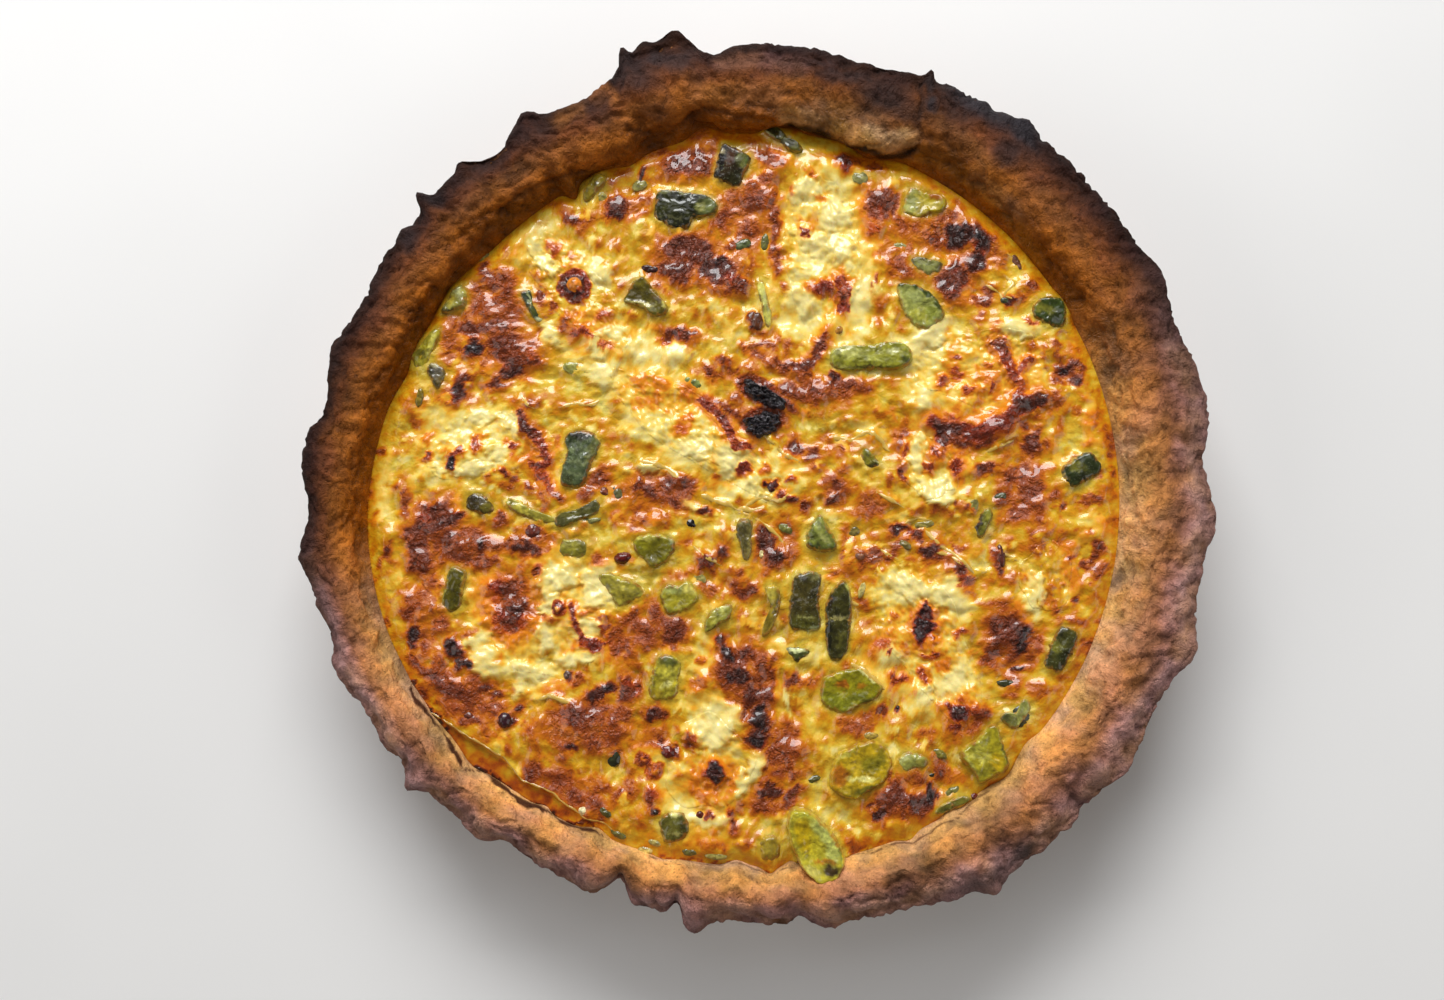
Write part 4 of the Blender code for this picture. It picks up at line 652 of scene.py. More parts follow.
    "zucchini_26": ([(764, 588), (772, 584), (780, 590), (781, 604), (776, 620), (768, 634), (762, 636), (764, 622), (770, 606)],
                    (164, 144, 58), [(777, 606, 2.6, 20, 12, (84, 68, 26), .85), (771, 596, 4, 8, 10, (184, 172, 100), .7),
                                     (768, 622, 4, 10, 16, (130, 112, 44), .8)]),
    "zucchini_27": ([(792, 578), (800, 572), (814, 570), (822, 574), (821, 590), (821, 610), (821, 626), (814, 632), (800, 632),
                     (790, 628), (788, 608), (790, 590)], (58, 52, 24), [
        (805, 622, 14, 8, 0, (88, 86, 36), .8), (814, 576, 8, 4, -10, (140, 136, 108), .7), (800, 596, 9, 16, 0, (70, 62, 34), .6),
        (790, 600, 2, 18, 0, (110, 76, 30), .6), (806, 617, 9, 1.2, 0, (150, 148, 116), .6), (814, 629, 6, 2, -10, (176, 184, 170), .6)]),
    "zucchini_28": ([(826, 600), (833, 588), (843, 580), (850, 588), (853, 604), (852, 622), (850, 640), (846, 655), (836, 662),
                     (828, 656), (825, 640), (824, 616)], (52, 50, 22), [
        (851, 592, 3, 14, -10, (176, 178, 120), .8), (840, 590, 7, 8, 0, (84, 82, 40), .8), (838, 618, 10, 1.4, 0, (168, 160, 130), .7),
        (842, 642, 6, 14, 6, (82, 80, 40), .8), (829, 636, 2.6, 20, 0, (26, 26, 14), .9), (830, 602, 3, 8, 10, (40, 26, 16), .8)]),
    "zucchini_29": ([(784, 648), (794, 645), (804, 647), (812, 651), (806, 658), (798, 664), (790, 658)], (66, 72, 42), [
        (796, 650, 9, 2.2, 0, (220, 228, 222), .85), (806, 654, 4, 3, 0, (124, 130, 86), .7), (797, 660, 5, 3, 0, (44, 46, 24), .8)]),
    "zucchini_30": ([(819, 514), (825, 519), (831, 530), (838, 543), (836, 551), (826, 553), (814, 551), (806, 546), (806, 532), (811, 522)],
                    (106, 114, 62), [(821, 526, 6, 8, 0, (152, 158, 104), .6), (812, 546, 9, 4, 10, (52, 62, 36), .85),
                                     (832, 546, 6, 5, 0, (78, 88, 50), .7), (825, 538, 7, 3, 40, (186, 190, 150), .6)]),
    "zucchini_31": ([(821, 682), (832, 672), (848, 668), (862, 668), (876, 680), (884, 688), (876, 700), (862, 706), (846, 714),
                     (832, 712), (820, 700)], (138, 132, 26), [
        (843, 685, 7, 5, 10, (176, 92, 20), .85), (862, 686, 5, 3, 0, (176, 104, 22), .7), (838, 702, 16, 8, 20, (120, 124, 36), .8),
        (858, 697, 12, 4, -10, (104, 108, 40), .8), (868, 701, 7, 4, -20, (62, 58, 24), .85), (852, 708, 6, 1.8, -30, (206, 204, 180), .7),
        (868, 676, 14, 1.8, 38, (226, 224, 200), .8), (836, 676, 10, 2.6, -24, (196, 180, 66), .7)]),
    "zucchini_32": ([(832, 766), (838, 752), (850, 746), (866, 740), (880, 742), (890, 752), (892, 768), (884, 784), (870, 792),
                     (856, 800), (840, 796), (828, 784)], (180, 152, 32), [
        (840, 776, 8, 12, 0, (172, 92, 26), .85), (845, 755, 10, 3, -20, (206, 200, 120), .7), (872, 764, 14, 9, -20, (118, 114, 34), .8),
        (856, 768, 8, 6, 0, (206, 176, 60), .7), (862, 779, 16, 2.2, 0, (222, 218, 170), .8), (866, 790, 14, 4.4, -14, (86, 86, 34), .85),
        (846, 792, 8, 5, 0, (150, 128, 34), .7), (882, 756, 4, 10, 0, (140, 128, 40), .7)]),
    "zucchini_33": ([(788, 812), (796, 806), (808, 808), (820, 818), (832, 830), (840, 844), (846, 858), (844, 870), (836, 880),
                     (822, 885), (808, 876), (798, 862), (790, 844), (786, 826)], (178, 168, 66), [
        (804, 836, 10, 18, -18, (190, 160, 16), .9), (815, 846, 5, 14, -20, (204, 190, 60), .7), (822, 832, 6, 16, -38, (182, 190, 132), .9),
        (833, 852, 7, 12, -10, (188, 196, 136), .85), (827, 822, 2.2, 16, -40, (222, 228, 190), .85), (841, 852, 1.8, 12, -14, (116, 124, 66), .9),
        (812, 872, 9, 5, 30, (226, 216, 150), .8), (826, 862, 12, 3, 10, (168, 104, 34), .8), (831, 871, 9, 6, 0, (44, 22, 28), .95),
        (806, 815, 8, 4, 20, (190, 190, 90), .6)]),
    "zucchini_34": ([(896, 762), (902, 754), (912, 751), (924, 754), (930, 761), (926, 768), (914, 770), (902, 772)], (148, 150, 98), [
        (906, 758, 6, 3, -30, (196, 202, 180), .7), (920, 763, 6, 4, 0, (126, 118, 60), .8), (900, 768, 5, 2, 0, (190, 184, 140), .6)]),
    "zucchini_35": ([(960, 752), (968, 744), (978, 736), (990, 724), (998, 726), (1004, 744), (1010, 762), (1006, 772), (994, 778),
                     (980, 784), (972, 772), (962, 762)], (158, 148, 44), [
        (980, 746, 12, 6, -42, (176, 174, 92), .8), (996, 764, 8, 10, 0, (192, 160, 12), .85), (976, 758, 14, 1.8, 20, (206, 202, 130), .7),
        (986, 756, 14, 1.8, 26, (200, 196, 120), .6), (984, 772, 10, 5, -20, (130, 124, 40), .8), (1006, 752, 2.6, 18, -16, (72, 80, 34), .9),
        (970, 764, 2, 14, -34, (196, 196, 130), .7)]),
    "zucchini_36": ([(1022, 698), (1030, 700), (1032, 710), (1024, 722), (1016, 730), (1006, 726), (998, 718), (1004, 712),
                     (1014, 712), (1020, 706)], (154, 158, 110), [(1006, 718, 6, 4, 0, (58, 58, 44), .85), (1024, 706, 3, 8, 10, (120, 126, 84), .8),
                                                                 (1014, 722, 6, 4, 0, (96, 98, 62), .7)]),
    "zucchini_37": ([(974, 528), (978, 516), (984, 510), (990, 506), (994, 514), (990, 526), (984, 536), (978, 538)], (108, 106, 46), [
        (979, 522, 2.6, 12, 12, (44, 24, 26), .95), (989, 514, 3, 6, 10, (146, 144, 70), .7), (976, 518, 1, 4, 0, (200, 196, 196), .6)]),
    "zucchini_38": ([(658, 820), (666, 812), (678, 810), (686, 816), (690, 826), (686, 838), (676, 844), (664, 842), (660, 832)],
                    (86, 84, 42), [(675, 813, 9, 3, 8, (206, 204, 172), .85), (668, 828, 6, 8, 0, (104, 100, 52), .7),
                                   (684, 830, 4, 8, 0, (64, 62, 26), .7), (676, 834, 6, 1.6, 0, (176, 174, 140), .6)]),
    "zucchini_39": ([(758, 842), (766, 836), (776, 836), (782, 846), (780, 858), (770, 862), (760, 858)], (150, 128, 48), [
        (770, 848, 6, 5, 0, (132, 118, 56), .7), (762, 854, 4, 4, 0, (170, 146, 60), .7)]),
    "zucchini_40": ([(934, 812), (942, 804), (954, 798), (966, 796), (972, 800), (962, 806), (950, 812), (938, 815)], (108, 106, 48), [
        (950, 801, 10, 2, -20, (176, 160, 74), .7), (946, 810, 8, 2, -10, (70, 66, 28), .8)]),
    "zucchini_41": ([(757, 284), (763, 280), (766, 290), (770, 304), (772, 318), (768, 328), (763, 318), (760, 302)], (206, 202, 128), [
        (759, 300, 2, 20, -12, (98, 94, 30), .9), (765, 300, 2.6, 14, -12, (216, 220, 176), .8)]),
    "zucchini_42": ([(589, 180), (598, 172), (606, 176), (604, 186), (598, 192), (592, 199), (584, 202), (582, 192)], (130, 114, 34), [
        (597, 182, 5, 6, 0, (172, 152, 62), .8), (587, 194, 3, 6, 20, (96, 84, 24), .7)]),
}


def local(x, y, x0, y0, heading):
    c, s = math.cos(math.radians(heading)), math.sin(math.radians(heading))
    return (x - x0) * c + (y - y0) * s, -(x - x0) * s + (y - y0) * c


def plan_of(name, kind, x0, y0, length, width, heading):
    """A piece's middle and its outline's radius by angle, in millimetres."""
    if name in PIECES:
        pts = np.array([mm_of(u_, v_, 32.0) for u_, v_ in closed_curve(PIECES[name][0])])
    else:
        s = np.arange(90) / 90 * 2 * np.pi
        c_, s_ = np.cos(s), np.sin(s)
        if kind == "face":
            lx, ly = c_ * length / 2, np.where(s_ > 0, s_ * width * .72, s_ * width * .28)
        else:
            lx = np.sign(c_) * np.abs(c_) ** .45 * length / 2
            ly = np.sign(s_) * np.abs(s_) ** .5 * width / 2
        hh = math.radians(heading)
        pts = np.stack([x0 + lx * math.cos(hh) - ly * math.sin(hh), y0 + lx * math.sin(hh) + ly * math.cos(hh)], -1)
    following = np.roll(pts, -1, 0)
    cross = pts[:, 0] * following[:, 1] - following[:, 0] * pts[:, 1]
    middle = ((pts + following) * cross[:, None]).sum(0) / (3 * cross.sum())
    away = pts - middle
    at, reach = np.arctan2(away[:, 1], away[:, 0]), np.hypot(away[:, 0], away[:, 1])
    order = np.argsort(at)
    return middle, at[order], reach[order]


PLANS = {row[0]: plan_of(*row[:7]) for row in ZUCCHINI}
for crisp in CHARRED:
    PIECES[crisp[0]] = (CHARRED_OUTLINES[crisp[0]], (30, 22, 24), [])
CRISP_PLANS = {crisp[0]: plan_of(crisp[0], "skin", crisp[1], crisp[2], 2 * crisp[3], 2 * crisp[4], crisp[5]) for crisp in CHARRED}


def plan_reach(plan, angle):
    return np.interp(angle, plan[1], plan[2], period=2 * np.pi)


# =====================================================================================
# the custard's surface: height and browning at any point
# =====================================================================================
def even(u, v, scale, seed, octaves=3):
    """Noise with a spread of about one."""
    return 4.5 * fbm2(u / scale, v / scale, seed, octaves)


def surface(x, y):
    """Fields of the baked surface at points given in millimetres."""
    u, v = px_of(x, y)
    wu = u + 3.6 * even(u, v, 34, 11) + 2.0 * even(u, v, 13, 12) + .7 * even(u, v, 6, 19, 1)
    wv = v + 3.6 * even(u, v, 34, 13) + 2.0 * even(u, v, 13, 14) + .7 * even(u, v, 6, 20, 1)
    fu = u + 1.9 * even(u, v, 24, 15, 2) + 1.2 * even(u, v, 10, 16, 2) + .4 * even(u, v, 4.5, 51, 1)
    fv = v + 1.9 * even(u, v, 24, 17, 2) + 1.2 * even(u, v, 10, 18, 2) + .4 * even(u, v, 4.5, 52, 1)

    cheese = np.zeros_like(u)
    for spec in CHEESE_AREAS:
        cheese = np.maximum(cheese, spec[5] * smooth(1.25, 0.7, oval(wu, wv, spec)))
    olive = np.zeros_like(u)
    for spec in OLIVE:
        olive = np.maximum(olive, spec[5] * smooth(1.35, 0.35, oval(wu, wv, spec)))
    tan = np.zeros_like(u)
    for spec in TANNED:
        tan = np.maximum(tan, spec[5] * smooth(1.45, 0.3, oval(wu, wv, spec)))

    n_big = even(u, v, 60, 21)
    n_mid = even(u, v, 19, 22, 3)
    n_low = even(u, v, 8, 23, 2)
    n_fine = even(u, v, 3.6, 26, 2)
    # the parts that the frame leaves out get tanning and cheese of their own
    unseen = np.clip(smooth(1036, 1062, u) + smooth(404, 384, u), 0, 1)
    patch = smooth(-.1, 1.1, even(u, v, 30, 24, 3))
    cream = smooth(.1, 1.1, even(u, v, 40, 25, 3))
    relief = even(u, v, 26, 36, 3)
    base = .30 + .06 * n_big + .085 * n_mid + .03 * n_low + .04 * relief
    brown = np.maximum(base, tan * 1.22 + .05 * n_mid + .012 * n_low + .05 * relief)
    # pale creamy streaks where the custard stayed light
    streak = smooth(.55, 1.5, even(u, v, 15, 27, 3)) * smooth(.42, .25, tan)
    cheese = np.maximum(cheese, .75 * streak * (1 - unseen))
    light = .05 + .04 * n_mid + .04 * n_low + .02 * n_fine + .20 * smooth(.2, 1.6, even(u, v, 26, 28, 3)) + .66 * tan
    brown = brown * (1 - cheese) + light * cheese
    brown = np.maximum(brown, unseen * patch * (.62 + .08 * n_low + .08 * n_mid))
    cheese = np.maximum(cheese, unseen * cream * (1 - patch))

    # painted sheen: where the material mixes a pinkish lilac into the browned skin for the window's reflection
    painted_sheen = np.maximum(unseen * patch * .7, .75 * smooth(.34, .48, tan) * (1 - cheese) * smooth(-.6, .8, even(u, v, 22, 29, 3)))
    dome = np.zeros_like(u)
    cover = np.zeros_like(u)
    for spec in BROWN:
        q = oval(fu, fv, spec)
        small = min(spec[2], spec[3]) < 7
        core = smooth(1.3, .60, q) if small else smooth(1.32, .52, q)
        halo = smooth(2.2, .8, q) * min(.48, spec[5] * .60)
        brown = np.maximum(brown, np.maximum(spec[5] * core, halo))
        painted_sheen = np.maximum(painted_sheen, spec[7] * smooth(1.15, .4, q))
        cover = np.maximum(cover, core)
        dome = np.maximum(dome, (.9 if small else 1.5) * spec[6] * np.clip(1 - (q / 1.2) ** 2, 0, 1) ** .7)
    for points, half, dark, high, sheen_amount in SEAMS:
        q = line_distance(.4 * u + .6 * fu, .4 * v + .6 * fv, points) / half
        inside = smooth(1.4, .5, q)
        brown = np.maximum(brown, np.maximum(dark * inside, smooth(3.2, 1.0, q) * .44))
        painted_sheen = np.maximum(painted_sheen, sheen_amount * inside)
        cover = np.maximum(cover, inside)
        dome = np.maximum(dome, high * np.sqrt(np.clip(1 - (q / 1.3) ** 2, 0, 1)))
    brown = brown - .13 * cheese * smooth(.35, .6, brown) * smooth(.97, .85, brown)
    # browned skin is mottled through and through
    brown = brown + smooth(.30, .60, brown) * smooth(1.02, .86, brown) * (.014 * n_low + .034 * n_mid + .006 * n_fine)
    for u0, v0, radius, half, dark in RINGS:
        d = np.hypot(.5 * (u + fu) - u0, .5 * (v + fv) - v0)
        ring = smooth(half * 1.4, half * .4, np.abs(d - radius))
        inner = smooth(radius, radius * .5, d)
        brown = np.maximum(brown * (1 - inner), dark * ring) + inner * .42
        dome = np.maximum(dome, 1.3 * np.sqrt(np.clip(1 - (d / radius) ** 2, 0, 1)) - .5 * ring)

    white = np.zeros_like(u)
    lump = np.zeros_like(u)
    for spec in WHITE_LUMPS:
        q = oval(wu, wv, spec)
        white = np.maximum(white, smooth(1.25, .45, q))
        lump = np.maximum(lump, spec[5] * np.sqrt(np.clip(1 - (q / 1.15) ** 2, 0, 1)))
    white = white * smooth(.62, .35, brown)
    cheese = np.maximum(cheese, white)
    brown = brown * (1 - .8 * white) + .03 * white * n_low

    strand = np.zeros_like(u)
    high = np.zeros_like(u)
    for points, half, rise in STRANDS:
        q = line_distance(u + .6 * (fu - u), v + .6 * (fv - v), points) / (half * 1.25)
        strand = np.maximum(strand, smooth(1.3, .3, q))
        high = np.maximum(high, rise * np.sqrt(np.clip(1 - (q / 1.4) ** 2, 0, 1)))

    # height, in millimetres over the general level
    crumb = np.abs(even(u, v, 12, 31, 2))
    first, second = cells2(fu / 14, fv / 14, 32)
    blister = np.clip(1 - first * 1.25, 0, 1) ** .7
    wrinkle = np.abs(noise2(fu / 6.5 + .3 * n_low, fv / 8.5, 33)) + .45 * np.abs(noise2(fu / 3.4, fv / 4.6, 34))
    skin = smooth(.34, .66, brown)
    h = (.48 * even(u, v, 70, 35, 2) + .48 * relief + .12 * n_low * (1 - .6 * cheese)
         + cheese * (.25 + .10 * crumb + .12 * n_mid) + .80 * dome + .9 * lump + high
         + .52 * smooth(.28, .6, brown) * blister - .52 * skin * wrinkle)

    # the border: the custard dips to the pastry; to the lower left it has shrunk back
    a = np.arctan2(y, x)
    inward = border_r(a) - np.hypot(x, y)
    h = h * smooth(-1.0, 9.0, inward) - 1.5 * smooth(5.5, 0.0, inward)
    oil = line_distance(u, v, OIL_LINE)
    ang = np.degrees(a) % 360
    shrunk = smooth(204, 212, ang) * smooth(246, 238, ang)
    outside = smooth(0, 3, (px_radius(u, v) - oil_radius(ang))) * shrunk
    h = h * (1 - .8 * outside) - .95 * outside
    h = h + .42 * shrunk * np.sqrt(np.clip(1 - (oil / 2.4) ** 2, 0, 1))
    brown = brown * (1 - outside) + outside * (.40 + .05 * n_low + .07 * n_mid + .14 * smooth(6.0, 1.5, inward))
    olive = np.maximum(olive, .55 * outside)
    cheese = cheese * (1 - outside)
    painted_sheen = painted_sheen * (1 - outside)
    burnt = line_distance(fu, fv, BURNT_LINE)
    width = 1.6 + 1.1 * np.clip(even(u, v, 16, 41, 2) + 1.0, 0, 3)
    brown = np.maximum(brown, .98 * smooth(1.3, .5, burnt / width))
    brown = np.maximum(brown, .55 * smooth(9, 2, burnt) * shrunk)
    # a dark line along the near and right border of the custard
    for line in (NEAR_LINE, RIGHT_LINE):
        edge = line_distance(fu, fv, line)
        brown = np.maximum(brown, .8 * smooth(2.6, .8, edge))
    # all along, the custard's edge is baked a little darker and more yellow
    rimmed = smooth(7.0, 1.0, inward + .8 * n_mid) * (1 - shrunk)
    brown = brown * (1 - .5 * rimmed) + .5 * rimmed * (.33 + .06 * n_low)
    cheese = cheese * (1 - .7 * rimmed)
    h = h + .3 * smooth(2.5, .5, burnt / width)

    # custard clings to whatever stands in it
    for plan in PLANS.values():
        dx, dy = x - plan[0][0], y - plan[0][1]
        d = np.hypot(dx, dy) - plan_reach(plan, np.arctan2(dy, dx))
        near = np.exp(-(np.maximum(d + .3, 0) / 1.9) ** 2)
        h = h * (1 - .65 * near) + near * (.50 + .16 * n_low)
        brown = brown * (1 - .35 * near)
        olive = np.maximum(olive, .7 * near)
    for name, x0, y0, a_, b_, heading in CHARRED:
        lx, ly = local(x, y, x0, y0, heading)
        near = smooth(1.7, 1.0, np.hypot(lx / a_, ly / b_))
        brown = np.maximum(brown, .7 * near)
    painted_sheen = painted_sheen * smooth(.36, .55, brown)
    return {"z": LEVEL + h, "brown": np.clip(brown, 0, 1), "cheese": np.clip(cheese, 0, 1),
            "olive": np.clip(olive * (1 - cheese * .8), 0, 1), "painted_sheen": np.clip(painted_sheen, 0, 1),
            "white": np.clip(white, 0, 1), "wet": np.clip(outside + strand + .5 * smooth(3, 1, oil) * shrunk, 0, 1)}


def px_radius(u, v):
    return np.hypot(u - 744, v - 500)


OIL_ANGLES = np.array([math.degrees(math.atan2(500 - v_, u_ - 744)) % 360 for u_, v_ in OIL_LINE])
OIL_RADII = np.array([math.hypot(u_ - 744, v_ - 500) for u_, v_ in OIL_LINE])


def oil_radius(ang):
    return np.interp(ang, OIL_ANGLES, OIL_RADII)


# =====================================================================================
# materials
# =====================================================================================
def rgb(r, g, b):
    """sRGB 0-255 to linear."""
    out = []
    for c in (r, g, b):
        c = c / 255
        out.append(c / 12.92 if c <= .04045 else ((c + .055) / 1.055) ** 2.4)
    return (*out, 1.0)


class Nodes:
    """A short hand for node trees."""

    def __init__(self, name):
        self.material = bpy.data.materials.new(name)
        self.material.use_nodes = True
        self.tree = self.material.node_tree
        self.shader = self.tree.nodes["Principled BSDF"]

    def node(self, kind, **values):
        made = self.tree.nodes.new(kind)
        for key, value in values.items():
            setattr(made, key, value)
        return made

    def link(self, a, b):
        self.tree.links.new(a, b)

    def put(self, socket, value):
        if isinstance(value, bpy.types.NodeSocket):
            self.link(value, socket)
        else:
            socket.default_value = value

    def attribute(self, name, output="Fac"):
        return self.node("ShaderNodeAttribute", attribute_name=name).outputs[output]

    def coords(self):
        return self.node("ShaderNodeTexCoord").outputs["Object"]

    def noise(self, scale, detail=2.0, rough=.5, distortion=0.0, vector=None):
        made = self.node("ShaderNodeTexNoise")
        self.link(vector or self.coords(), made.inputs["Vector"])
        made.inputs["Scale"].default_value = scale
        made.inputs["Detail"].default_value = detail
        made.inputs["Roughness"].default_value = rough
        made.inputs["Distortion"].default_value = distortion
        return made.outputs["Fac"]

    def voronoi(self, scale, feature="F1", output="Distance", vector=None, randomness=1.0):
        made = self.node("ShaderNodeTexVoronoi", feature=feature)
        self.link(vector or self.coords(), made.inputs["Vector"])
        made.inputs["Scale"].default_value = scale
        made.inputs["Randomness"].default_value = randomness
        return made.outputs[output]

    def math(self, operation, a, b=0.0, c=0.0, clamp=False):
        made = self.node("ShaderNodeMath", operation=operation, use_clamp=clamp)
        for socket, value in zip(made.inputs, (a, b, c)):
            self.put(socket, value)
        return made.outputs[0]

    def ease(self, low, high, value):
        made = self.node("ShaderNodeMapRange", interpolation_type="SMOOTHSTEP")
        self.put(made.inputs["Value"], value)
        made.inputs["From Min"].default_value = low
        made.inputs["From Max"].default_value = high
        return made.outputs["Result"]

    def mix(self, fac, a, b, blend="MIX"):
        made = self.node("ShaderNodeMix", data_type="RGBA", blend_type=blend)
        self.put(made.inputs["Factor"], fac)
        self.put(made.inputs["A"], a)
        self.put(made.inputs["B"], b)
        return made.outputs["Result"]

    def ramp(self, fac, stops):
        made = self.node("ShaderNodeValToRGB")
        self.link(fac, made.inputs["Fac"])
        ramp = made.color_ramp
        while len(ramp.elements) < len(stops):
            ramp.elements.new(.5)
        for element, (at, colour) in zip(ramp.elements, stops):
            element.position = at
            element.color = colour
        return made.outputs["Color"]

    def bump(self, height, strength, distance, normal=None):
        made = self.node("ShaderNodeBump")
        self.put(made.inputs["Height"], height)
        self.put(made.inputs["Strength"], strength)
        made.inputs["Distance"].default_value = distance
        if normal is not None:
            self.link(normal, made.inputs["Normal"])
        return made.outputs["Normal"]

    def set(self, name, value):
        self.put(self.shader.inputs[name], value)


def baked_top(name):
    """Custard and cheese: one finish, steered by the fields on the mesh."""
    n = Nodes(name)
    brown, cheese = n.attribute("brown"), n.attribute("cheese")
    olive, painted_sheen, white, wet = n.attribute("olive"), n.attribute("painted_sheen"), n.attribute("white"), n.attribute("wet")
    coarse = n.noise(300, 3, .6, .8)
    fine = n.noise(900, 2, .5, 1.0)
    # browning breaks up at its edges
    c0 = n.math("SUBTRACT", coarse, .5)
    f0 = n.math("SUBTRACT", fine, .5)
    reach = n.math("MULTIPLY_ADD", brown, .16, .10)
    b = n.math("MULTIPLY_ADD", c0, reach, brown)
    b = n.math("MULTIPLY_ADD", f0, n.math("MULTIPLY", reach, .55), b, clamp=True)
    c = n.ease(.25, .75, n.math("MULTIPLY_ADD", c0, .35, cheese))
    custard = n.ramp(b, [
        (0.00, rgb(240, 221, 120)), (0.13, rgb(233, 196, 62)), (0.27, rgb(222, 160, 22)), (0.42, rgb(206, 114, 10)),
        (0.56, rgb(170, 78, 14)), (0.70, rgb(128, 52, 14)), (0.85, rgb(82, 31, 15)), (1.00, rgb(30, 13, 12))])
    melted = n.ramp(b, [
        (0.00, rgb(253, 232, 146)), (0.12, rgb(250, 215, 100)), (0.26, rgb(246, 184, 50)), (0.40, rgb(232, 136, 20)),
        (0.55, rgb(200, 88, 12)), (0.70, rgb(152, 50, 12)), (0.85, rgb(94, 28, 14)), (1.00, rgb(32, 12, 12))])
    colour = n.mix(c, custard, melted)
    # olive where zucchini shows through
    tint = n.math("MULTIPLY", n.ease(.15, .95, n.math("MULTIPLY_ADD", c0, .6, olive)), n.ease(.60, .30, b))
    colour = n.mix(n.math("MULTIPLY", tint, .56), colour, rgb(150, 132, 34))
    # the white of the cheese that stands up
    colour = n.mix(n.math("MULTIPLY", white, .45), colour, rgb(254, 237, 162))
    # painted sheen on the browned skin: a pinkish lilac standing in for the window's reflection, broken into soft
    # crinkles
    crinkle = n.noise(430, 2, .5, 1.6)
    sheen_amount = n.math("MULTIPLY", n.math("MULTIPLY", painted_sheen, n.ease(.46, .68, crinkle)), n.math("MULTIPLY_ADD", n.ease(.72, .95, b), -.18, .28))
    colour = n.mix(sheen_amount, colour, rgb(196, 126, 104))
    n.set("Base Color", colour)
    n.set("Roughness", n.math("MULTIPLY_ADD", fine, .16, n.math("MULTIPLY_ADD", wet, -.2, .24), clamp=True))
    n.set("Specular IOR Level", .25)
    n.set("Coat Weight", .85)
    n.set("Coat Roughness", .04)
    n.set("Coat IOR", 1.46)
    n.set("Subsurface Weight", .12)
    n.set("Subsurface Radius", (.9, .45, .15))
    n.set("Subsurface Scale", .0025)
    dry = n.math("MULTIPLY_ADD", wet, -.75, 1.0, clamp=True)
    skin = n.math("MAXIMUM", painted_sheen, n.ease(.35, .7, b))
    smoothed = n.math("MULTIPLY_ADD", n.math("MULTIPLY", c, n.ease(.5, .3, b)), -.55, 1.0)
    strong = n.math("MULTIPLY", n.math("MULTIPLY", n.math("MULTIPLY_ADD", skin, .85, .24), dry), smoothed)
    low = n.bump(n.noise(340, 2, .5, 1.2), n.math("MULTIPLY", strong, 1.0), .0017)
    mid = n.bump(crinkle, n.math("MULTIPLY", strong, .9), .0009, low)
    n.set("Normal", n.bump(n.noise(1300, 2, .5, .6), n.math("MULTIPLY_ADD", skin, .35, .18), .00025, mid))
    return n.material


def pastry(name):
    n = Nodes(name)
    colour = n.attribute("col", "Color")
    oily, dark, grey = n.attribute("oily"), n.attribute("dark"), n.attribute("grey")
    mottling = n.noise(210, 5, .65, .4)
    fine = n.noise(1500, 3, .6)
    colour = n.mix(1.0, colour, n.ramp(mottling, [(.28, (.62, .56, .50, 1)), (.5, (1, 1, 1, 1)), (.74, (1.32, 1.30, 1.24, 1))]), "MULTIPLY")
    colour = n.mix(1.0, colour, n.ramp(fine, [(.3, (.84, .82, .80, 1)), (.52, (1, 1, 1, 1)), (.72, (1.16, 1.16, 1.14, 1))]), "MULTIPLY")
    # bran and toasted specks
    cell = n.node("ShaderNodeTexVoronoi", feature="F1")
    n.link(n.coords(), cell.inputs["Vector"])
    cell.inputs["Scale"].default_value = 760
    pick = n.node("ShaderNodeSeparateColor")
    n.link(cell.outputs["Color"], pick.inputs["Color"])
    speck = n.math("MULTIPLY", n.ease(.34, .16, cell.outputs["Distance"]), n.ease(.62, .70, pick.outputs["Red"]))
    colour = n.mix(n.math("MULTIPLY", speck, .36), colour, rgb(66, 36, 22))
    big = n.node("ShaderNodeTexVoronoi", feature="F1")
    n.link(n.coords(), big.inputs["Vector"])
    big.inputs["Scale"].default_value = 230
    pick2 = n.node("ShaderNodeSeparateColor")
    n.link(big.outputs["Color"], pick2.inputs["Color"])
    fleck = n.math("MULTIPLY", n.ease(.22, .10, big.outputs["Distance"]), n.ease(.80, .84, pick2.outputs["Green"]))
    colour = n.mix(n.math("MULTIPLY", fleck, .42), colour, rgb(58, 30, 20))
    n.set("Base Color", colour)
    n.set("Roughness", n.math("MULTIPLY_ADD", oily, -.40, n.math("MULTIPLY_ADD", grey, -.14, .66), clamp=True))
    n.set("Specular IOR Level", .17)
    low = n.bump(mottling, .9, .0026)
    fibre = n.node("ShaderNodeTexNoise")
    stretch = n.node("ShaderNodeMapping")
    stretch.inputs["Scale"].default_value = (1.0, .42, 1.0)
    stretch.inputs["Rotation"].default_value = (0, 0, .6)
    n.link(n.coords(), stretch.inputs["Vector"])
    n.link(stretch.outputs["Vector"], fibre.inputs["Vector"])
    fibre.inputs["Scale"].default_value = 520
    fibre.inputs["Detail"].default_value = 5
    fibre.inputs["Roughness"].default_value = .62
    fibre.inputs["Distortion"].default_value = 1.4
    mid = n.bump(fibre.outputs["Fac"], n.math("MULTIPLY_ADD", oily, -.5, .85), .0009, low)
    n.set("Normal", n.bump(fine, .4, .0002, mid))
    return n.material


